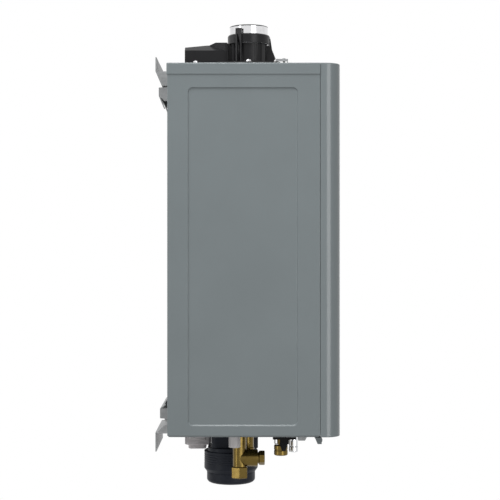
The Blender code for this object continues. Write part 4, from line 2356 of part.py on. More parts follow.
def build_inside():
    """The heat exchangers, burner, blower, gas valve, pipes and control box."""
    secondary_heat_exchanger()
    exchanger_bracket()
    primary_heat_exchanger()
    burner_box()
    igniter()
    gas_manifold()
    blower_housing()
    blower_wheel()
    blower_motor()
    gas_valve()
    gas_inlet_pipe()
    flow_sensor()
    flow_turbine()
    cold_riser()
    hot_pipe()
    drain_hose()
    control_box()


build_case()
build_brackets()
build_controls()
build_flue()
build_underside()
build_inside()
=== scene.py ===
"""The look of a wall-hung tankless water heater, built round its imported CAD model.

Lengths are in metres. The front faces -Y, the wall is the plane Y = 0 and +Z is up.
"""

import json
import math

import bmesh
import bpy
from mathutils import Matrix, Vector


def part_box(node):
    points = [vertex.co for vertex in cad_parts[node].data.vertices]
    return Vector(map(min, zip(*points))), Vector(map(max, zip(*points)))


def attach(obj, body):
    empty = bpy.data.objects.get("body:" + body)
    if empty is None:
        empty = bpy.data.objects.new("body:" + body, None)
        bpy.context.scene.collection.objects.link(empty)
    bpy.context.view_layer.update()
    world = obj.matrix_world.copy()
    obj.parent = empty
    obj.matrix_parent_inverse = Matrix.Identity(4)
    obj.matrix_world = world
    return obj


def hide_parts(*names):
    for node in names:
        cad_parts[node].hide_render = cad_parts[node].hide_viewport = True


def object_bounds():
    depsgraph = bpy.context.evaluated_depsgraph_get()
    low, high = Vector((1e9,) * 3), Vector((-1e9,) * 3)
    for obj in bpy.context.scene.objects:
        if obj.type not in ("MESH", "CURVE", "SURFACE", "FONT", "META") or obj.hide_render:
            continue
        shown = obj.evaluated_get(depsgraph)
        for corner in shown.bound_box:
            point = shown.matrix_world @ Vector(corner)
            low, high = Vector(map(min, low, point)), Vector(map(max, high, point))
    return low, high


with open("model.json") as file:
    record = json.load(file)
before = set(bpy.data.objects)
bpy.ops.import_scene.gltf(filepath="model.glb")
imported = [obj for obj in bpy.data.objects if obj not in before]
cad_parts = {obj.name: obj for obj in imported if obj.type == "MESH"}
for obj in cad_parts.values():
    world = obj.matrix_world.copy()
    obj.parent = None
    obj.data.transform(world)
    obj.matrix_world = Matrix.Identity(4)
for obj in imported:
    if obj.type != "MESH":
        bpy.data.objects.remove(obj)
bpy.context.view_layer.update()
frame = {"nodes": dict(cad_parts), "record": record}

# The fixed body, the fit between pieces, the case's sheet and the sides
HEATER = "heater"
FIT = 0.0003
SHEET = 0.0012
LEFT = -1
RIGHT = 1

# How finely round shapes are divided, and how far a smooth bend may turn, in degrees
LATHE_STEPS = 96
FITTING_STEPS = 72
SCREW_STEPS = 48
CORNER_STEPS = 10
SMOOTH_TURN = 30
SHEET_TURN = 40
SAME_POINT = 1e-6

# Camera, from the photograph's perspective
CAMERA_PLACE = (-2.635, -0.1793, -0.3522)
CAMERA_LENS = 96.5
CAMERA_SENSOR = 36.0
CAMERA_CLIP = (0.05, 50)

# Floor
FLOOR_DROP = 0.38
FLOOR_RADIUS = 1.6
FLOOR_COLOUR = (0.35, 0.35, 0.35)
FLOOR_ROUGHNESS = 0.9
FLOOR_GLOW_SHARE = 0.85

# The sleeve's painted shade: a dark line along its rim
RIM_SHADE_DEPTH = 0.0016
RIM_SHADE_BLEND = 0.0006
RIM_SHADE_COLOUR = (0.02, 0.02, 0.02)

# The lugs under the cover stand in its shade, which is painted into their colour as a darker copy of the
# case paint
LUG_PAINTED_SHADE = 0.57


# Materials


class Graph:
    """A material's node tree with short calls to add and join nodes."""

    def __init__(self, name):
        self.material = bpy.data.materials.new(name)
        self.material.use_nodes = True
        self.tree = self.material.node_tree
        self.shader = self.tree.nodes["Principled BSDF"]
        self.coords = self.add("ShaderNodeTexCoord").outputs["Object"]

    def add(self, kind, **settings):
        """A new node with its settings."""
        node = self.tree.nodes.new(kind)
        for key, value in settings.items():
            setattr(node, key, value)
        return node

    def join(self, output, target):
        """A link from an output to an input."""
        self.tree.links.new(output, target)

    def stretched(self, scale):
        """Object coordinates scaled along each axis."""
        mapping = self.add("ShaderNodeMapping")
        mapping.inputs["Scale"].default_value = scale
        self.join(self.coords, mapping.inputs["Vector"])
        return mapping.outputs["Vector"]

    def noise(self, scale, detail=3.0, stretch=None, roughness=0.55):
        """A noise value over the object, features per metre given by scale."""
        node = self.add("ShaderNodeTexNoise")
        node.inputs["Scale"].default_value = scale
        node.inputs["Detail"].default_value = detail
        node.inputs["Roughness"].default_value = roughness
        self.join(self.stretched(stretch) if stretch else self.coords, node.inputs["Vector"])
        return node.outputs["Fac"]

    def cells(self, scale):
        """A node that splits the surface into cells, each with its own colour."""
        node = self.add("ShaderNodeTexVoronoi")
        node.inputs["Scale"].default_value = scale
        self.join(self.coords, node.inputs["Vector"])
        return node

    def spread(self, value, low, high, start=0.3, end=0.7):
        """A value's start..end range laid onto low..high."""
        node = self.add("ShaderNodeMapRange")
        for key, number in (("From Min", start), ("From Max", end), ("To Min", low), ("To Max", high)):
            node.inputs[key].default_value = number
        self.join(value, node.inputs["Value"])
        return node.outputs["Result"]

    def mix(self, factor, first, second):
        """Two colours mixed by an output; each colour is a tuple or an output."""
        node = self.add("ShaderNodeMix", data_type="RGBA")
        self.join(factor, node.inputs["Factor"])
        for key, colour in (("A", first), ("B", second)):
            socket = [s for s in node.inputs if s.name == key and s.type == "RGBA"][0]
            if isinstance(colour, tuple):
                socket.default_value = (*colour, 1.0)
            else:
                self.join(colour, socket)
        return [s for s in node.outputs if s.type == "RGBA"][0]

    def bump(self, height, distance, strength=1.0, under=None):
        """A bump over the surface, stacked on another if given."""
        node = self.add("ShaderNodeBump")
        node.inputs["Distance"].default_value = distance
        node.inputs["Strength"].default_value = strength
        self.join(height, node.inputs["Height"])
        if under:
            self.join(under, node.inputs["Normal"])
        return node.outputs["Normal"]

    def done(self, colour, roughness, metallic=0.0, normal=None, **constants):
        """The shader's own values: outputs are joined and plain numbers set."""
        values = {"Base Color": colour, "Roughness": roughness, "Metallic": metallic, **constants}
        for key, value in values.items():
            socket = self.shader.inputs[key]
            if isinstance(value, bpy.types.NodeSocket):
                self.join(value, socket)
            elif isinstance(value, tuple):
                socket.default_value = (*value, 1.0)
            else:
                socket.default_value = value
        if normal:
            self.join(normal, self.shader.inputs["Normal"])
        return self.material


def tone(colour, factor):
    """A colour made lighter or darker by a factor."""
    return tuple(min(1.0, channel * factor) for channel in colour)


def paint(name="case_powder_coat", shade=1.0):
    """Grey-green powder coat with a fine orange peel and faint cloudiness; a shade below 1 darkens it as
    painted shade.
    """
    g = Graph(name)
    base = tone((0.180, 0.209, 0.217), shade)
    cloud = g.noise(9.0, 3.0)
    fleck = g.noise(900.0, 2.0)
    colour = g.mix(g.spread(cloud, 0.0, 1.0), tone(base, 0.965), tone(base, 1.03))
    colour = g.mix(g.spread(fleck, 0.0, 0.2), colour, tone(base, 1.12))
    peel = g.bump(g.noise(650.0, 2.0), 0.00006, 0.4)
    wave = g.bump(g.noise(55.0, 1.0), 0.00025, 0.12, peel)
    rough = g.spread(g.noise(300.0, 2.0), 0.17, 0.22)
    return g.done(colour, rough, 0.0, wave, **{"Specular IOR Level": 0.48})


def galvanised(name="galvanised_sheet"):
    """Zinc-coated steel with soft spangle, dull flecks and rolling marks."""
    g = Graph(name)
    base = (0.295, 0.303, 0.307)
    cells = g.cells(260.0)
    grey = g.add("ShaderNodeRGBToBW")
    g.join(cells.outputs["Color"], grey.inputs["Color"])
    spangle = g.spread(grey.outputs["Val"], 0.0, 1.0, 0.1, 0.9)
    colour = g.mix(spangle, tone(base, 0.90), tone(base, 1.10))
    dull = g.spread(g.noise(60.0, 4.0), 0.0, 0.5, 0.45, 0.75)
    colour = g.mix(dull, colour, tone(base, 0.74))
    rough = g.spread(g.noise(420.0, 3.0), 0.34, 0.52)
    rolled = g.bump(g.noise(240.0, 2.0, (1.0, 1.0, 14.0)), 0.00005, 0.4)
    return g.done(colour, rough, 0.45, g.bump(g.noise(900.0, 2.0), 0.00004, 0.5, rolled))


def moulded(name, base, rough=(0.42, 0.52), grain=1100.0, depth=0.00006, scuff=0.08, shine=0.5):
    """Moulded plastic with a fine grain, faint flow marks and light scuffs."""
    g = Graph(name)
    flow = g.spread(g.noise(28.0, 4.0), 0.0, 1.0)
    colour = g.mix(flow, tone(base, 0.9), tone(base, 1.1))
    scuffs = g.spread(g.noise(160.0, 5.0, (1.0, 1.0, 0.25), 0.7), 0.0, scuff, 0.6, 0.75)
    colour = g.mix(scuffs, colour, tuple(min(1.0, c + 0.12) for c in base))
    roughness = g.spread(g.noise(90.0, 3.0), rough[0], rough[1])
    skin = g.bump(g.noise(grain, 2.0), depth, 0.6)
    return g.done(colour, roughness, 0.0, skin, **{"Specular IOR Level": shine})


def rubber(name="black_rubber_skin"):
    """Matte rubber with a powdery bloom."""
    g = Graph(name)
    base = (0.010, 0.010, 0.011)
    bloom = g.spread(g.noise(70.0, 4.0), 0.0, 0.6, 0.4, 0.8)
    colour = g.mix(bloom, base, (0.026, 0.026, 0.028))
    rough = g.spread(g.noise(200.0), 0.7, 0.86)
    skin = g.bump(g.noise(800.0), 0.00008, 0.5)
    return g.done(colour, rough, 0.0, skin, **{"Specular IOR Level": 0.15})


def machined(name, base, rough=(0.2, 0.34), stretch=(1.0, 1.0, 26.0), tarnish=None, edge=None):
    """Bare metal with drawing marks round it, soft tarnish and, if asked, painted shade: a dark band
    above a height.
    """
    g = Graph(name)
    marks = g.noise(190.0, 3.0, stretch)
    colour = g.mix(g.spread(marks, 0.0, 1.0), tone(base, 0.93), tone(base, 1.06))
    stain = g.spread(g.noise(75.0, 5.0, None, 0.65), 0.0, 0.75, 0.5, 0.72)
    colour = g.mix(stain, colour, tarnish or tone(base, 0.8))
    # Painted shade: above the given height the metal turns dark, standing in for the shading along the
    # sleeve's rim.
    if edge:
        split = g.add("ShaderNodeSeparateXYZ")
        g.join(g.coords, split.inputs["Vector"])
        rim_shade = g.spread(split.outputs["Z"], 0.0, 1.0, edge - RIM_SHADE_BLEND, edge)
        colour = g.mix(rim_shade, colour, RIM_SHADE_COLOUR)
    roughness = g.spread(g.noise(120.0, 4.0), rough[0], rough[1])
    return g.done(colour, roughness, 1.0, g.bump(marks, 0.00004, 0.25))


def cast(name, base):
    """Cast metal with a sandy skin."""
    g = Graph(name)
    sand = g.noise(700.0, 3.0)
    colour = g.mix(g.spread(sand, 0.0, 1.0), tone(base, 0.85), tone(base, 1.1))
    return g.done(colour, g.spread(g.noise(150.0), 0.45, 0.62), 0.9, g.bump(sand, 0.00018, 0.6))


def lens_glass(name="display_window"):
    """The display's dark glossy window with a faint inner mask."""
    g = Graph(name)
    fog = g.spread(g.noise(40.0, 2.0), 0.0, 1.0)
    colour = g.mix(fog, (0.008, 0.010, 0.012), (0.014, 0.017, 0.020))
    return g.done(colour, g.spread(g.noise(300.0), 0.05, 0.09), 0.0, None, **{"Coat Weight": 0.6})


LOOKS = {
    "case_paint": paint(),
    # Painted shade: the lugs take the case paint darkened for the shade under the cover.
    "lug": paint("lug_coat_in_painted_shade", LUG_PAINTED_SHADE),
    "galvanised_steel": galvanised(),
    "zinc_screw": machined("bright_zinc", (0.56, 0.56, 0.57), (0.16, 0.28), (1.0, 1.0, 8.0)),
    "black_plastic": moulded("black_moulding", (0.009, 0.009, 0.010), (0.28, 0.36), shine=0.2),
    "polished_steel": machined(
        "polished_sleeve_steel",
        (0.74, 0.74, 0.75),
        (0.07, 0.15),
        (1.0, 1.0, 34.0),
        # The sleeve's rim gets a painted shade line.
        edge=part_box("flue_sleeve")[1][2] - RIM_SHADE_DEPTH,
    ),
    "black_rubber": rubber(),
    "pump_plastic": moulded(
        "slate_pump_moulding",
        (0.015, 0.018, 0.026),
        (0.4, 0.5),
        900.0,
        0.00009,
        shine=0.15,
    ),
    "brass": machined(
        "raw_brass",
        (0.135, 0.094, 0.027),
        (0.2, 0.3),
        (1.0, 1.0, 12.0),
        (0.085, 0.056, 0.017),
    ),
    # Painted light: the pale plastic is made lighter to offset the shade the trap stands in under the
    # case; the spigot takes a darker copy of the same plastic.
    "pale_plastic": moulded("pale_moulding_with_painted_light", (0.86, 0.82, 0.825), (0.4, 0.5), 1100.0, 0.00005, 0.03),
    "spigot": moulded("spigot_pale_moulding_darker_copy", (0.60, 0.575, 0.575), (0.4, 0.5), 1100.0, 0.00005, 0.03),
    "white_plastic": moulded("white_moulding", (0.78, 0.78, 0.76), (0.3, 0.4), 1100.0, 0.00004, 0.02),
    "chrome": machined("chrome_plating", (0.66, 0.67, 0.68), (0.05, 0.1), (1.0, 1.0, 6.0)),
    "copper": machined(
        "drawn_copper",
        (0.72, 0.36, 0.22),
        (0.25, 0.4),
        (1.0, 1.0, 18.0),
        (0.38, 0.17, 0.1),
    ),
    "stainless_steel": machined("pressed_stainless", (0.58, 0.58, 0.59), (0.28, 0.4), (1.0, 9.0, 1.0)),
    "cast_aluminium": cast("sand_cast_aluminium", (0.52, 0.52, 0.53)),
    "display_lens": lens_glass(),
    "button_plastic": moulded("button_moulding", (0.30, 0.32, 0.33), (0.38, 0.46)),
}


# Geometry helpers


PIECES = []


def placed(name, data, place=(0, 0, 0)):
    """A new object in the scene."""
    item = bpy.data.objects.new(name, data)
    item.location = place
    bpy.context.scene.collection.objects.link(item)
    return item


def mesh_of(item):
    """A new mesh of an object as its modifiers or curve settings make it."""
    bpy.context.view_layer.update()
    made = item.evaluated_get(bpy.context.evaluated_depsgraph_get())
    return bpy.data.meshes.new_from_object(made)


def show(name, mesh, slot, nodes=(), body=HEATER, look=None):
    """A mesh as a piece that rides on a body, takes a slot's finish and stands for some nodes."""
    piece = placed(name, mesh)
    mesh.materials.clear()
    mesh.materials.append(look or LOOKS[slot])
    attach(piece, body)
    if nodes:
        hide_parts(*nodes)
    PIECES.append(piece)
    return piece


def smooth(mesh, degrees=SMOOTH_TURN):
    """Smooth shading with sharp edges past an angle."""
    mesh.shade_smooth()
    mesh.set_sharp_from_angle(angle=math.radians(degrees))
    return mesh


def mesh_from(name, shape, degrees=SMOOTH_TURN):
    """A mesh made from a bmesh, with outward normals."""
    bmesh.ops.recalc_face_normals(shape, faces=shape.faces)
    mesh = bpy.data.meshes.new(name)
    shape.to_mesh(mesh)
    shape.free()
    return smooth(mesh, degrees)


def joined(name, meshes):
    """Several meshes as one, each as it lies."""
    shape = bmesh.new()
    for mesh in meshes:
        shape.from_mesh(mesh)
        bpy.data.meshes.remove(mesh)
    mesh = bpy.data.meshes.new(name)
    shape.to_mesh(mesh)
    shape.free()
    return mesh


# Corners this flat or this sharp keep their point, and an eased one takes this share of its sides
NEARLY_STRAIGHT = math.radians(172)
NEARLY_FOLDED = math.radians(4)
CORNER_SHARE = 0.45


def eased(points, radius, closed=False, steps=3):
    """An outline with each corner rounded, as far as its sides allow."""
    count = len(points)
    made = []
    for index, point in enumerate(points):
        if not closed and index in (0, count - 1):
            made.append(point)
            continue
        here = Vector(point)
        before = Vector(points[index - 1]) - here
        after = Vector(points[(index + 1) % count]) - here
        if before.length < 1e-9 or after.length < 1e-9:
            continue
        angle = before.angle(after)
        if angle > NEARLY_STRAIGHT or angle < NEARLY_FOLDED:
            made.append(point)
            continue
        room = CORNER_SHARE * min(before.length, after.length)
        setback = min(radius / math.tan(angle / 2), room)
        start = here + before.normalized() * setback
        end = here + after.normalized() * setback
        for step in range(steps + 1):
            share = step / steps
            near = start.lerp(here, share)
            far = here.lerp(end, share)
            made.append(tuple(near.lerp(far, share)))
    return made


def lathe(name, profile, centre, steps=LATHE_STEPS, ease=0.0005, ring=False, degrees=SMOOTH_TURN):
    """A shape turned round an upright axis from radius and height points, its corners eased."""
    points = eased(profile, ease, closed=ring) if ease else list(profile)
    shape = bmesh.new()
    verts = [shape.verts.new((max(radius, 0.0), 0.0, height)) for radius, height in points]
    pairs = list(zip(verts, verts[1:]))
    if ring:
        pairs.append((verts[-1], verts[0]))
    edges = [shape.edges.new(pair) for pair in pairs]
    bmesh.ops.spin(
        shape,
        geom=verts + edges,
        cent=(0, 0, 0),
        axis=(0, 0, 1),
        angle=2 * math.pi,
        steps=steps,
        use_merge=True,
    )
    bmesh.ops.remove_doubles(shape, verts=shape.verts, dist=SAME_POINT)
    mesh = mesh_from(name, shape, degrees)
    mesh.transform(Matrix.Translation(centre))
    return mesh


# Faces of a slab that meet flatter than this are one, and its rims are sharper than that
SLAB_FLATNESS = math.radians(0.5)
SLAB_RIM = math.radians(50)

# How a slab's own axes lie in the scene
PLANES = {
    "XY": Matrix.Identity(4),
    "XZ": Matrix(((1, 0, 0, 0), (0, 0, -1, 0), (0, 1, 0, 0), (0, 0, 0, 1))),
}


def slab(name, outline, low, high, plane, bevel):
    """A flat outline made solid between two heights, with rounded rims."""
    curve = bpy.data.curves.new(name, "CURVE")
    curve.dimensions = "2D"
    curve.fill_mode = "BOTH"
    curve.extrude = (high - low) / 2
    spline = curve.splines.new("POLY")
    spline.points.add(len(outline) - 1)
    for knot, point in zip(spline.points, outline):
        knot.co = (point[0], point[1], 0, 1)
    spline.use_cyclic_u = True
    guide = placed(name, curve)
    mesh = mesh_of(guide)
    bpy.data.objects.remove(guide, do_unlink=True)
    shape = bmesh.new()
    shape.from_mesh(mesh)
    bpy.data.meshes.remove(mesh)
    bmesh.ops.remove_doubles(shape, verts=shape.verts, dist=SAME_POINT)
    bmesh.ops.dissolve_limit(shape, angle_limit=SLAB_FLATNESS, verts=shape.verts, edges=shape.edges)
    bmesh.ops.translate(shape, vec=(0, 0, (low + high) / 2), verts=shape.verts)
    if bevel:
        rims = [edge for edge in shape.edges if edge.is_manifold and edge.calc_face_angle(0) > SLAB_RIM]
        bmesh.ops.bevel(
            shape,
            geom=rims,
            offset=bevel,
            segments=2,
            profile=0.5,
            affect="EDGES",
            clamp_overlap=True,
        )
    bmesh.ops.transform(shape, matrix=PLANES[plane], verts=shape.verts)
    return mesh_from(name, shape)


def rounded_rectangle(low, high, radius, steps=8):
    """The outline of a rectangle with round corners, counter-clockwise from the right side's top."""
    left, bottom = low[0] + radius, low[1] + radius
    right, top = high[0] - radius, high[1] - radius
    points = []
    for index, corner in enumerate(((right, top), (left, top), (left, bottom), (right, bottom))):
        for step in range(steps + 1):
            angle = math.radians(90 * (index + step / steps))
            points.append((corner[0] + radius * math.cos(angle), corner[1] + radius * math.sin(angle)))
    return points


# Edges of a dressed node that turn more than this are rounded, and flatter faces than that are one
DRESSED_TURN = 28
DRESSED_FLATNESS = math.radians(1.0)


def dressed(name, node, slot, width=0.0004, segments=2, wide=0.0, long_edge=0.05, body=HEATER, look=None):
    """A CAD node's shape with rounded edges; the long bends of a bent sheet are rounder."""
    shape = bmesh.new()
    shape.from_mesh(frame["nodes"][node].data)
    bmesh.ops.remove_doubles(shape, verts=shape.verts, dist=2 * SAME_POINT)
    bmesh.ops.dissolve_limit(shape, angle_limit=DRESSED_FLATNESS, verts=shape.verts, edges=shape.edges)
    mesh = mesh_from(name, shape, DRESSED_TURN)
    piece = show(name, mesh, slot, (node,), body, look)
    if wide:
        weights = mesh.attributes.new("bevel_weight_edge", "FLOAT", "EDGE")
        for edge in mesh.edges:
            span = (mesh.vertices[edge.vertices[0]].co - mesh.vertices[edge.vertices[1]].co).length
            weights.data[edge.index].value = 1.0 if span > long_edge else width / wide
    bevel = piece.modifiers.new("rounded edges", "BEVEL")
    bevel.width = wide or width
    bevel.segments = segments
    bevel.limit_method = "WEIGHT" if wide else "ANGLE"
    bevel.angle_limit = math.radians(DRESSED_TURN)
    bevel.harden_normals = False
    return piece


# Case


# The case's outer planes, as the CAD nodes give them
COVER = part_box("front_cover")
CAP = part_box("top_cap")
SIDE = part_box("left_side_panel")
FRONT_Y = COVER[0][1]
SEAM_Y = COVER[1][1]
CASE_LOW = COVER[0][2]
CASE_HIGH = COVER[1][2]
HALF_WIDTH = COVER[1][0]
REAR_Y = SIDE[1][1]

RECESS_REAR = 0.0375
RECESS_FRONT = 0.0410
RECESS_TOP = 0.0450
RECESS_BOTTOM = 0.0215
RECESS_RADIUS = 0.0080
RECESS_DEPTH = 0.0023
RECESS_SLOPE = 0.0026
COVER_CORNER = 0.0275
COVER_BEND = 0.0016
COVER_CORNER_STEPS = 28
CAP_BEND = 0.0022
BEND_STEPS = 6
SIDE_EDGE = SHEET * 0.7
SIDE_EDGE_STEPS = 4
RECESS_STEPS = 12
WINDOW_LAP = 0.0040
WINDOW_CORNER = 0.006
WINDOW_CUT = 0.01


def loop_mesh(name, loops):
    """A surface through loops of equal counts, its last loop filled."""
    shape = bmesh.new()
    rows = [[shape.verts.new(point) for point in loop] for loop in loops]
    count = len(rows[0])
    for low, high in zip(rows, rows[1:]):
        for index in range(count):
            after = (index + 1) % count
            shape.faces.new((low[index], low[after], high[after], high[index]))
    shape.faces.new(rows[-1])
    return mesh_from(name, shape, SHEET_TURN)


def row_mesh(name, rows, filled):
    """A surface through open rows of equal counts, with a face on each of the filled rows."""
    shape = bmesh.new()
    lines = [[shape.verts.new(point) for point in row] for row in rows]
    for low, high in zip(lines, lines[1:]):
        for index in range(len(low) - 1):
            shape.faces.new((low[index], low[index + 1], high[index + 1], high[index]))
    for index in filled:
        shape.faces.new(lines[index])
    return mesh_from(name, shape, SHEET_TURN)


def side_sheet(name, node, side):
    """A side sheet with eased edges and its stamped recess."""
    low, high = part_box(node)
    outer = side * HALF_WIDTH
    y_low, y_high = low[1], high[1]
    z_low, z_high = low[2], high[2]
    recess = (
        (SEAM_Y + RECESS_FRONT, CASE_LOW + RECESS_BOTTOM),
        (REAR_Y - RECESS_REAR, CASE_HIGH - RECESS_TOP),
    )

    def border(inset, depth):
        """The sheet's own outline at an inset and a depth."""
        near = (y_low + inset, z_low + inset)
        far = (y_high - inset, z_high - inset)
        loop = rounded_rectangle(near, far, SHEET, CORNER_STEPS)
        return [(outer - side * depth, y, z) for y, z in loop]

    def step(out, depth):
        """The recess's outline at an offset and a depth."""
        near = (recess[0][0] - out, recess[0][1] - out)
        far = (recess[1][0] + out, recess[1][1] + out)
        loop = rounded_rectangle(near, far, RECESS_RADIUS + out, CORNER_STEPS)
        return [(outer - side * depth, y, z) for y, z in loop]

    loops = [border(0.0, SHEET), border(0.0, SIDE_EDGE)]
    for index in range(1, SIDE_EDGE_STEPS + 1):
        angle = index / SIDE_EDGE_STEPS * math.pi / 2
        loops.append(border(SIDE_EDGE * (1 - math.cos(angle)), SIDE_EDGE * (1 - math.sin(angle))))
    loops.append(border(SHEET, 0.0))
    for index in range(RECESS_STEPS + 1):
        share = index / RECESS_STEPS
        curve = share * share * (3 - 2 * share)
        loops.append(step((0.5 - share) * RECESS_SLOPE, curve * RECESS_DEPTH))
    return show(name, loop_mesh(name, loops), "case_paint", (node,))


def cap_sheet():
    """The top cap: a bent tray over the sides and the back, open at the front."""
    (x_low, y_low, z_low), (x_high, y_high, z_high) = CAP

    def row(inset, z):
        """The three-sided run left front, left rear, right rear, right front at an inset."""
        corner = max(CAP_BEND - inset, FIT)
        left = x_low + inset + corner
        right = x_high - inset - corner
        rear = y_high - inset - corner
        points = [(x_low + inset, y_low, z)]
        for index, x in enumerate((left, right)):
            for step in range(BEND_STEPS + 1):
                angle = math.radians(180 - 90 * index - 90 * step / BEND_STEPS)
                points.append((x + corner * math.cos(angle), rear + corner * math.sin(angle), z))
        points.append((x_high - inset, y_low, z))
        return points

    rows = [row(SHEET, z_low), row(FIT, z_low), row(0.0, z_low + FIT)]
    rows.append(row(0.0, z_high - CAP_BEND - FIT))
    for step in range(BEND_STEPS + 1):
        angle = math.radians(90 * step / BEND_STEPS)
        rows.append(row(CAP_BEND * (1 - math.cos(angle)), z_high - CAP_BEND * (1 - math.sin(angle))))
    rows.append(row(CAP_BEND + FIT, z_high))
    mesh = row_mesh("top_cap_sheet", rows, (-1,))
    return show("top_cap_sheet", mesh, "case_paint", ("top_cap",))


def cover_row(inset, z):
    """The cover's outline at one height, from its left edge round the front to its right edge."""
    arc_y = FRONT_Y + COVER_CORNER
    arc_x = HALF_WIDTH - COVER_CORNER
    radius = COVER_CORNER - inset
    points = [(-HALF_WIDTH + inset, SEAM_Y - FIT, z)]
    for index, x in enumerate((-arc_x, arc_x)):
        for step in range(COVER_CORNER_STEPS + 1):
            angle = math.radians(180 + 90 * index + 90 * step / COVER_CORNER_STEPS)
            points.append((x + radius * math.cos(angle), arc_y + radius * math.sin(angle), z))
    points.append((HALF_WIDTH - inset, SEAM_Y - FIT, z))
    return points


def cover_rows():
    """The cover's outlines from its bent bottom edge up to its bent top edge."""
    low_bend, high_bend = [], []
    for step in range(BEND_STEPS + 1):
        angle = math.radians(90 * step / BEND_STEPS)
        along = COVER_BEND * (1 - math.cos(angle))
        across = COVER_BEND * (1 - math.sin(angle))
        low_bend.append(cover_row(across, CASE_LOW + along))
        high_bend.append(cover_row(along, CASE_HIGH - across))
    low_wall = cover_row(0.0, CASE_LOW + COVER_BEND + FIT)
    high_wall = cover_row(0.0, CASE_HIGH - COVER_BEND - FIT)
    return [*low_bend, low_wall, high_wall, *high_bend]


def window_cutter():
    """The space that the control panel takes in the cover."""
    low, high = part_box("control_bezel")
    near = (low[0] + WINDOW_LAP, low[2] + WINDOW_LAP)
    far = (high[0] - WINDOW_LAP, high[2] - WINDOW_LAP)
    window = rounded_rectangle(near, far, WINDOW_CORNER)
    mesh = slab("window_cutter", window, -FRONT_Y - WINDOW_CUT, -FRONT_Y + WINDOW_CUT, "XZ", 0)
    return placed("window_cutter", mesh)


def cover_sheet():
    """The front cover with round upright corners, bent top and bottom edges and the panel's window."""
    mesh = row_mesh("front_cover_sheet", cover_rows(), (0, -1))
    piece = show("front_cover_sheet", mesh, "case_paint", ("front_cover",))
    thick = piece.modifiers.new("sheet thickness", "SOLIDIFY")
    thick.thickness = SHEET
    thick.offset = -1
    cutter = window_cutter()
    cutting = piece.modifiers.new("window", "BOOLEAN")
    cutting.object = cutter
    cutting.solver = "EXACT"
    cut_mesh = mesh_of(piece)
    piece.modifiers.clear()
    piece.data = smooth(cut_mesh, SHEET_TURN)
    bpy.data.objects.remove(cutter, do_unlink=True)
    return piece


side_sheet("left_side_sheet", "left_side_panel", LEFT)
side_sheet("right_side_sheet", "right_side_panel", RIGHT)
cap_sheet()
cover_sheet()
dressed("rear_sheet", "rear_panel", "case_paint", 0.0003)
dressed("bottom_tray", "bottom_plate", "case_paint", 0.0003)
# The lugs wear the darker copy of the case paint, as painted shade.
dressed("left_lug", "left_cover_lug", "case_paint", 0.0003, look=LOOKS["lug"])
dressed("right_lug", "right_cover_lug", "case_paint", 0.0003, look=LOOKS["lug"])


# Wall brackets


for piece_name, node_name in (
    ("upper_bracket_plate", "upper_wall_bracket"),
    ("upper_hook_plate", "upper_hanger_hook"),
    ("lower_bracket_plate", "lower_wall_bracket"),
    ("lower_hook_plate", "lower_hanger_hook"),
):
    dressed(piece_name, node_name, "galvanised_steel", 0.0003, 3, 0.0016)
dressed("flue_clip_strip", "flue_clip", "galvanised_steel", 0.0002, 2, 0.0009, 0.015)
dressed("cable_clip_strip", "cable_clip", "galvanised_steel", 0.0002, 2, 0.0009, 0.015)


# Flue and air intake


FLUE_Y = -0.177
SLEEVE_RADIUS = 0.0373
SLEEVE_WALL = 0.0012
SLEEVE_BEAD = 0.0008
SLEEVE_BEAD_HEIGHT = 0.0030
SLEEVE_TURN = 45
SEAL_LIP = 0.0045


def flue_tube():
    """The polished sleeve with a rolled rim and a round bead at its foot."""
    low, high = (corner[2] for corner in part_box("flue_sleeve"))
    outer = SLEEVE_RADIUS
    bead = outer + SLEEVE_BEAD
    inner = outer - SLEEVE_WALL
    profile = [
        (outer - SLEEVE_WALL / 2, high),
        (outer + SLEEVE_BEAD / 2, high - SLEEVE_BEAD_HEIGHT / 4),
        (outer + SLEEVE_BEAD / 2, high - SLEEVE_BEAD_HEIGHT * 0.6),
        (outer, high - SLEEVE_BEAD_HEIGHT * 0.8),
        (outer, low + SLEEVE_BEAD_HEIGHT),
        (bead, low + SLEEVE_BEAD_HEIGHT * 0.6),
        (bead, low),
        (inner, low),
        (inner, high - SLEEVE_WALL / 2),
    ]
    mesh = lathe("flue_tube", profile, (0, FLUE_Y, 0), ease=0.0004, ring=True, degrees=SLEEVE_TURN)
    return show("flue_tube", mesh, "polished_steel", ("flue_sleeve",))


def lip_seal():
    """The rubber lip seal inside the sleeve."""
    low, high = (corner[2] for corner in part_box("flue_seal"))
    outer = SLEEVE_RADIUS - SLEEVE_WALL - FIT
    height = high - low
    profile = [
        (outer, high),
        (outer, low),
        (outer - SLEEVE_WALL, low),
        (outer - SLEEVE_WALL, low + height / 2),
        (outer - SEAL_LIP, low + height * 0.2),
        (outer - SEAL_LIP, low + height * 0.32),
        (outer - SLEEVE_WALL, high),
    ]
    mesh = lathe("lip_seal", profile, (0, FLUE_Y, 0), ring=True)
    return show("lip_seal", mesh, "black_rubber", ("flue_seal",))


def screw_head(name, place, radius, height):
    """A bright pan head on a washer with a cross recess."""
    washer = height * 0.25
    profile = [
        (0, 0),
        (radius, 0),
        (radius, washer),
        (radius * 0.76, washer),
        (radius * 0.76, height * 0.7),
        (radius * 0.5, height),
        (0, height),
    ]
    head = lathe(name, profile, place, SCREW_STEPS, height * 0.09)
    deep = height * 0.3
    half = radius * 0.42
    thin = radius * 0.09
    for index in range(2):
        sides = (half, thin) if index else (thin, half)
        outline = rounded_rectangle((-sides[0], -sides[1]), sides, thin * 0.5, 2)
        cutter = slab("cross", outline, height - deep, height + deep, "XY", 0)
        cutter.transform(Matrix.Translation(place))
        head = carved(head, cutter)
    return show(name, smooth(head), "zinc_screw")


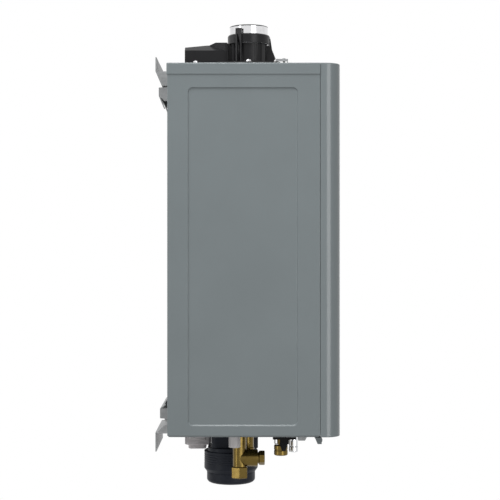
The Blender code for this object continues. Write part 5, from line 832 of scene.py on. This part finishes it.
def carved(mesh, cutter):
    """A mesh with another mesh's space taken out of it."""
    items = [placed(data.name, data) for data in (mesh, cutter)]
    cutting = items[0].modifiers.new("carve", "BOOLEAN")
    cutting.object = items[1]
    cutting.solver = "EXACT"
    made = mesh_of(items[0])
    for item in items:
        bpy.data.objects.remove(item, do_unlink=True)
    return made


# The joint between the intake duct and the flue adapter's pipe
FLUE_RADIUS = 0.0360
JOINT_SHEET = 0.0014
JOINT_FOOT = 0.0260
JOINT_EAVE = 0.0516
JOINT_TOP = 0.0666
JOINT_HALF = 0.0440
JOINT_NECK_HALF = 0.0272
JOINT_WEB_HALF = 0.0120
JOINT_BOSS_HALF = 0.0235
JOINT_BOSS_REACH = 0.0080
SADDLE_STEPS = 8


def duct_joint():
    """The joint's flange on the duct's end and the saddle that meets the adapter's pipe."""
    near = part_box("intake_duct")[0][1] - FIT
    foot, eave, top = (CASE_HIGH + rise for rise in (JOINT_FOOT, JOINT_EAVE, JOINT_TOP))
    outline = [(JOINT_HALF, foot), (JOINT_HALF, eave), (JOINT_NECK_HALF, eave), (JOINT_NECK_HALF, top)]
    outline += [(-x, z) for x, z in outline[::-1]]
    flange = slab("duct_flange", outline, -near, JOINT_SHEET - near, "XZ", 0.0003)
    radius = FLUE_RADIUS + FIT
    reach = near - JOINT_BOSS_REACH
    wide = math.asin(JOINT_BOSS_HALF / radius)
    arc = []
    for step in range(2 * SADDLE_STEPS + 1):
        turn = wide * (step / SADDLE_STEPS - 1)
        arc.append((radius * math.sin(turn), FLUE_Y + radius * math.cos(turn)))
    outline = [(JOINT_BOSS_HALF, reach), (JOINT_WEB_HALF, reach), (JOINT_WEB_HALF, near - JOINT_SHEET)]
    outline += [(-x, y) for x, y in outline[::-1]]
    saddle = slab("duct_saddle", arc + outline, foot, top, "XY", 0.0004)
    mesh = joined("duct_joint", (flange, saddle))
    return show("duct_joint", smooth(mesh), "black_plastic")


flue_tube()
lip_seal()
duct_joint()
dressed("flue_adapter_moulding", "flue_adapter", "black_plastic", 0.0005)
dressed("intake_duct_moulding", "intake_duct", "black_plastic", 0.0010, 3)
for side_name in ("left", "right"):
    dressed(f"{side_name}_latch_strap", f"{side_name}_flue_latch", "black_plastic", 0.0004)


# Pump


PUMP_Y = -0.142
PUMP_BODY_RADIUS = 0.0525
PUMP_CAP_RADIUS = 0.0472
PUMP_END_RADIUS = 0.0370
PUMP_RINGS = 5
PUMP_RING_PITCH = 0.0044
PUMP_RING_START = 0.0040
PUMP_RING_DEPTH = 0.0004
PUMP_STEP = 0.0077
PUMP_SHOULDER = 0.0014
PUMP_EASE = 0.0008
PUMP_CAP_STRAIGHT = 0.0130
PUMP_CAP_SAG = 0.0030
PUMP_CAP_STEPS = 12
PUMP_SAG_STEPS = 6
PUMP_SHAFT_HOLE_RADIUS = 0.0044
PUMP_SHAFT_HOLE_DEPTH = 0.0160


def motor_shell():
    """The pump motor's grooved shell, narrower at its foot, with a blind hole for the shaft."""
    low, high = (corner[2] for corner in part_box("pump_motor"))
    radius = PUMP_BODY_RADIUS
    hole_low = high - PUMP_SHAFT_HOLE_DEPTH
    profile = [
        (0, hole_low),
        (PUMP_SHAFT_HOLE_RADIUS, hole_low),
        (PUMP_SHAFT_HOLE_RADIUS, high),
        (radius - PUMP_SHOULDER, high),
        (radius, high - PUMP_SHOULDER),
    ]
    for index in range(PUMP_RINGS):
        start = high - PUMP_RING_START - index * PUMP_RING_PITCH
        profile += [
            (radius, start + PUMP_RING_PITCH * 0.1),
            (radius - PUMP_RING_DEPTH, start - PUMP_RING_PITCH * 0.2),
            (radius - PUMP_RING_DEPTH, start - PUMP_RING_PITCH * 0.5),
            (radius, start - PUMP_RING_PITCH * 0.8),
        ]
    profile += [
        (radius, low + PUMP_STEP),
        (PUMP_CAP_RADIUS, low + FIT),
        (PUMP_CAP_RADIUS, low),
        (0, low),
    ]
    mesh = lathe("pump_motor_shell", profile, (0, PUMP_Y, 0), ease=PUMP_EASE)
    return show("pump_motor_shell", mesh, "pump_plastic", ("pump_motor",))


def motor_cap():
    """The round-bottomed cap under the pump motor."""
    low, high = (corner[2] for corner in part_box("pump_end_cap"))
    straight = high - PUMP_CAP_STRAIGHT
    deep = straight - low - PUMP_CAP_SAG
    wide = PUMP_CAP_RADIUS - PUMP_END_RADIUS
    profile = [(0, high), (PUMP_CAP_RADIUS - FIT, high), (PUMP_CAP_RADIUS, high - FIT)]
    for step in range(PUMP_CAP_STEPS + 1):
        angle = math.radians(90 * step / PUMP_CAP_STEPS)
        profile.append((PUMP_END_RADIUS + wide * math.cos(angle), straight - deep * math.sin(angle)))
    for step in range(1, PUMP_SAG_STEPS + 1):
        share = step / PUMP_SAG_STEPS
        profile.append((PUMP_END_RADIUS * (1 - share), low + PUMP_CAP_SAG * (1 - share) ** 2))
    mesh = lathe("pump_motor_cap", profile, (0, PUMP_Y, 0), ease=0)
    return show("pump_motor_cap", mesh, "pump_plastic", ("pump_end_cap",))


motor_shell()
motor_cap()
dressed("pump_housing", "pump_volute", "pump_plastic", 0.0007)


# Fittings under the case


NEAR_SHARP = 0.0004
PIPE_BORE = 0.0090
PIPE_BEAD = 0.0010
NUT_BORE = 0.0073
NUT_CHAMFER = 0.0015
PLUG_NECK = 0.0060
SPIGOT_RADIUS = 0.0090
SPIGOT_BORE = 0.0060


def upright(node):
    """A round upright node's lowest and highest points, its axis as a place and its radius."""
    low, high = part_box(node)
    centre = ((low[0] + high[0]) / 2, (low[1] + high[1]) / 2, 0)
    return low[2], high[2], centre, (high[0] - low[0]) / 2


def pipe_end():
    """The hot outlet's pipe with a rolled bead at its end."""
    low, high, centre, bead = upright("hot_outlet")
    radius = bead - PIPE_BEAD
    profile = [
        (radius, high),
        (radius, low + 0.0062),
        (bead, low + 0.0050),
        (bead, low + 0.0006),
        (bead - 0.0006, low),
        (PIPE_BORE + 0.0006, low),
        (PIPE_BORE, low + 0.0006),
        (PIPE_BORE, high),
    ]
    mesh = lathe("hot_pipe_end", profile, centre, FITTING_STEPS, ring=True)
    return show("hot_pipe_end", mesh, "brass", ("hot_outlet",))


def round_nut():
    """The round gas nut with a fine groove round its middle."""
    low, high, centre, radius = upright("gas_inlet_nut")
    middle = (low + high) / 2
    profile = [
        (NUT_BORE, high),
        (radius - NUT_CHAMFER, high),
        (radius, high - NUT_CHAMFER),
        (radius, middle + 0.0012),
        (radius - 0.0006, middle + 0.0006),
        (radius - 0.0006, middle - 0.0006),
        (radius, middle - 0.0012),
        (radius, low + NUT_CHAMFER),
        (radius - NUT_CHAMFER, low),
        (NUT_BORE, low),
    ]
    mesh = lathe("gas_nut", profile, centre, FITTING_STEPS, NEAR_SHARP, ring=True)
    return show("gas_nut", mesh, "brass", ("gas_inlet_nut",))


def plug():
    """The chrome drain plug with a grooved grip, its neck in the bottom plate."""
    low, high, centre, radius = upright("drain_plug")
    shoulder = CASE_LOW - FIT
    profile = [
        (0, high),
        (PLUG_NECK, high),
        (PLUG_NECK, shoulder),
        (radius, shoulder),
        (radius, low + 0.0120),
        (radius - 0.0007, low + 0.0113),
        (radius - 0.0007, low + 0.0103),
        (radius, low + 0.0096),
        (radius, low + 0.0020),
        (radius - 0.0006, low + 0.0006),
        (radius - 0.0020, low),
        (0, low),
    ]
    mesh = lathe("chrome_plug", profile, centre, FITTING_STEPS, NEAR_SHARP)
    return show("chrome_plug", mesh, "chrome", ("drain_plug",))


def spigot():
    """The pale drain spigot with a collar under the case."""
    low, high, centre, collar = upright("drain_spigot")
    shoulder = CASE_LOW - FIT
    profile = [
        (SPIGOT_RADIUS, high),
        (SPIGOT_RADIUS, shoulder),
        (collar, shoulder),
        (collar, low + 0.0010),
        (collar - 0.0010, low),
        (SPIGOT_BORE + 0.0006, low),
        (SPIGOT_BORE, low + 0.0006),
        (SPIGOT_BORE, high),
    ]
    mesh = lathe("pale_spigot", profile, centre, FITTING_STEPS, NEAR_SHARP, ring=True)
    # The spigot wears the darker copy of the pale plastic; the trap's copy is painted lighter.
    return show("pale_spigot", mesh, "pale_plastic", ("drain_spigot",), look=LOOKS["spigot"])


pipe_end()
round_nut()
plug()
spigot()
dressed("brass_tee", "inlet_tee", "brass", 0.0004)
dressed("strainer_head", "strainer_cap", "brass", 0.0004)
# The trap wears the pale plastic painted lighter against the case's shade.
dressed("trap_moulding", "condensate_trap", "pale_plastic", 0.0006)
dressed("gas_grommet_moulding", "gas_grommet", "black_rubber", 0.0006)
dressed("bleed_hook", "bleed_tube", "white_plastic", 0.0002)


# Screws and control panel


DUCT_SCREW_X = 0.0383
DUCT_SCREW_Y = -0.0740
DUCT_SCREW_SEAT = 0.0252
DUCT_SCREW_RADIUS = 0.0068
DUCT_SCREW_HEIGHT = 0.0058


def bright_screws():
    """The screws on the flue adapter's foot, the clip and the intake duct's foot."""
    for side_name in ("left", "right"):
        dressed(f"{side_name}_foot_screw", f"{side_name}_flue_screw", "zinc_screw", 0.0003)
    dressed("clip_screw_head", "flue_clip_screw", "zinc_screw", 0.0003, look=LOOKS["galvanised_steel"])
    for side in (LEFT, RIGHT):
        place = (side * DUCT_SCREW_X, DUCT_SCREW_Y, CASE_HIGH + DUCT_SCREW_SEAT)
        side_name = "left" if side == LEFT else "right"
        screw_head(f"{side_name}_duct_screw", place, DUCT_SCREW_RADIUS, DUCT_SCREW_HEIGHT)


bright_screws()
dressed("panel_frame", "control_bezel", "black_plastic", 0.0004)
dressed("panel_window", "display_lens", "display_lens", 0.0005, 3)
for number in range(1, 5):
    button = f"push_button_{number}"
    dressed(f"button_cap_{number}", button, "button_plastic", 0.0005, 3, body=button)


# Finishes of the CAD nodes, and the pieces' shading


def finish_nodes():
    """Each node takes the look of its slot in the record."""
    slots = {entry["node"]: entry["material_slot"] for entry in frame["record"]["subparts"]}
    for name, node in frame["nodes"].items():
        node.data.materials.clear()
        node.data.materials.append(LOOKS[slots[name]])


def weigh_normals():
    """Shading weighted by face area, so that wide flat faces stay flat beside their bends."""
    for piece in PIECES:
        weighted = piece.modifiers.new("weighted normals", "WEIGHTED_NORMAL")
        weighted.keep_sharp = True


finish_nodes()
weigh_normals()


# Camera, light and floor


def aim(item, target):
    """Turn an object so that it looks at a point."""
    direction = Vector(target) - item.location
    item.rotation_euler = direction.to_track_quat("-Z", "Y").to_euler()


def make_camera():
    """A level camera that looks along +X at the heater's left side."""
    data = bpy.data.cameras.new("photo_camera")
    data.lens = CAMERA_LENS
    data.sensor_width = CAMERA_SENSOR
    data.clip_start, data.clip_end = CAMERA_CLIP
    camera = placed("photo_camera", data, CAMERA_PLACE)
    camera.rotation_euler = (math.pi / 2, 0, -math.pi / 2)
    bpy.context.scene.camera = camera


def area_light(name, place, target, size, power):
    """A white rectangular softbox aimed at a point."""
    data = bpy.data.lights.new(name, "AREA")
    data.shape = "RECTANGLE"
    data.size, data.size_y = size
    data.energy = power
    aim(placed(name, data, place), target)


def seen_rays(tree):
    """A value of 1 for rays from the camera, off glossy surfaces and through clear ones."""
    ray = tree.nodes.new("ShaderNodeLightPath")
    level = ray.outputs["Is Camera Ray"]
    for kind in ("Is Glossy Ray", "Is Transmission Ray"):
        either = tree.nodes.new("ShaderNodeMath")
        either.operation = "MAXIMUM"
        tree.links.new(level, either.inputs[0])
        tree.links.new(ray.outputs[kind], either.inputs[1])
        level = either.outputs[0]
    return level


def light_world(fill):
    """White for the camera and reflections, a softer grey as fill light."""
    world = bpy.data.worlds.new("studio")
    world.use_nodes = True
    tree = world.node_tree
    ground = tree.nodes["Background"]
    ground.inputs["Color"].default_value = (1, 1, 1, 1)
    level = tree.nodes.new("ShaderNodeMapRange")
    level.inputs["To Min"].default_value = fill
    level.inputs["To Max"].default_value = 1.0
    tree.links.new(seen_rays(tree), level.inputs["Value"])
    tree.links.new(level.outputs["Result"], ground.inputs["Strength"])
    bpy.context.scene.world = world


def make_floor():
    """A plain floor below the heater, white to the camera and in reflections, with a soft shadow."""
    low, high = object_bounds()
    shape = bmesh.new()
    bmesh.ops.create_circle(shape, cap_ends=True, segments=LATHE_STEPS, radius=FLOOR_RADIUS)
    mesh = bpy.data.meshes.new("floor")
    shape.to_mesh(mesh)
    shape.free()
    place = ((low.x + high.x) / 2, (low.y + high.y) / 2, low.z - FLOOR_DROP)
    floor = placed("floor", mesh, place)
    material = bpy.data.materials.new("pale_floor")
    material.use_nodes = True
    tree = material.node_tree
    shader = tree.nodes["Principled BSDF"]
    shader.inputs["Base Color"].default_value = (*FLOOR_COLOUR, 1)
    shader.inputs["Roughness"].default_value = FLOOR_ROUGHNESS
    glow = tree.nodes.new("ShaderNodeEmission")
    blend = tree.nodes.new("ShaderNodeMixShader")
    share = tree.nodes.new("ShaderNodeMath")
    share.operation = "MULTIPLY"
    share.inputs[1].default_value = FLOOR_GLOW_SHARE
    tree.links.new(seen_rays(tree), share.inputs[0])
    tree.links.new(share.outputs[0], blend.inputs["Fac"])
    tree.links.new(shader.outputs[0], blend.inputs[1])
    tree.links.new(glow.outputs[0], blend.inputs[2])
    tree.links.new(blend.outputs[0], tree.nodes["Material Output"].inputs["Surface"])
    mesh.materials.append(material)


CENTRE = (0.0, -0.18, -0.36)
FLUE_AIM = (0.0, -0.18, 0.0)
EDGE_AIM = (-0.2, -0.18, 0.0)
FILL_LIGHT = 0.10

make_camera()
area_light("overhead_softbox", (-1.3, 0.6, 2.0), CENTRE, (1.5, 1.5), 52)
area_light("edge_strip", (-0.75, -0.18, 1.7), EDGE_AIM, (0.3, 1.2), 9)
area_light("right_strip", (-2.43, -1.52, -0.2), CENTRE, (1.25, 2.3), 30)
area_light("left_strip", (-1.3, 1.7, -0.4), CENTRE, (0.4, 2.0), 10)
area_light("rim_softbox", (0.5, 2.0, 1.1), FLUE_AIM, (0.9, 0.9), 16)
light_world(FILL_LIGHT)
make_floor()
bpy.context.scene.view_settings.view_transform = "Standard"
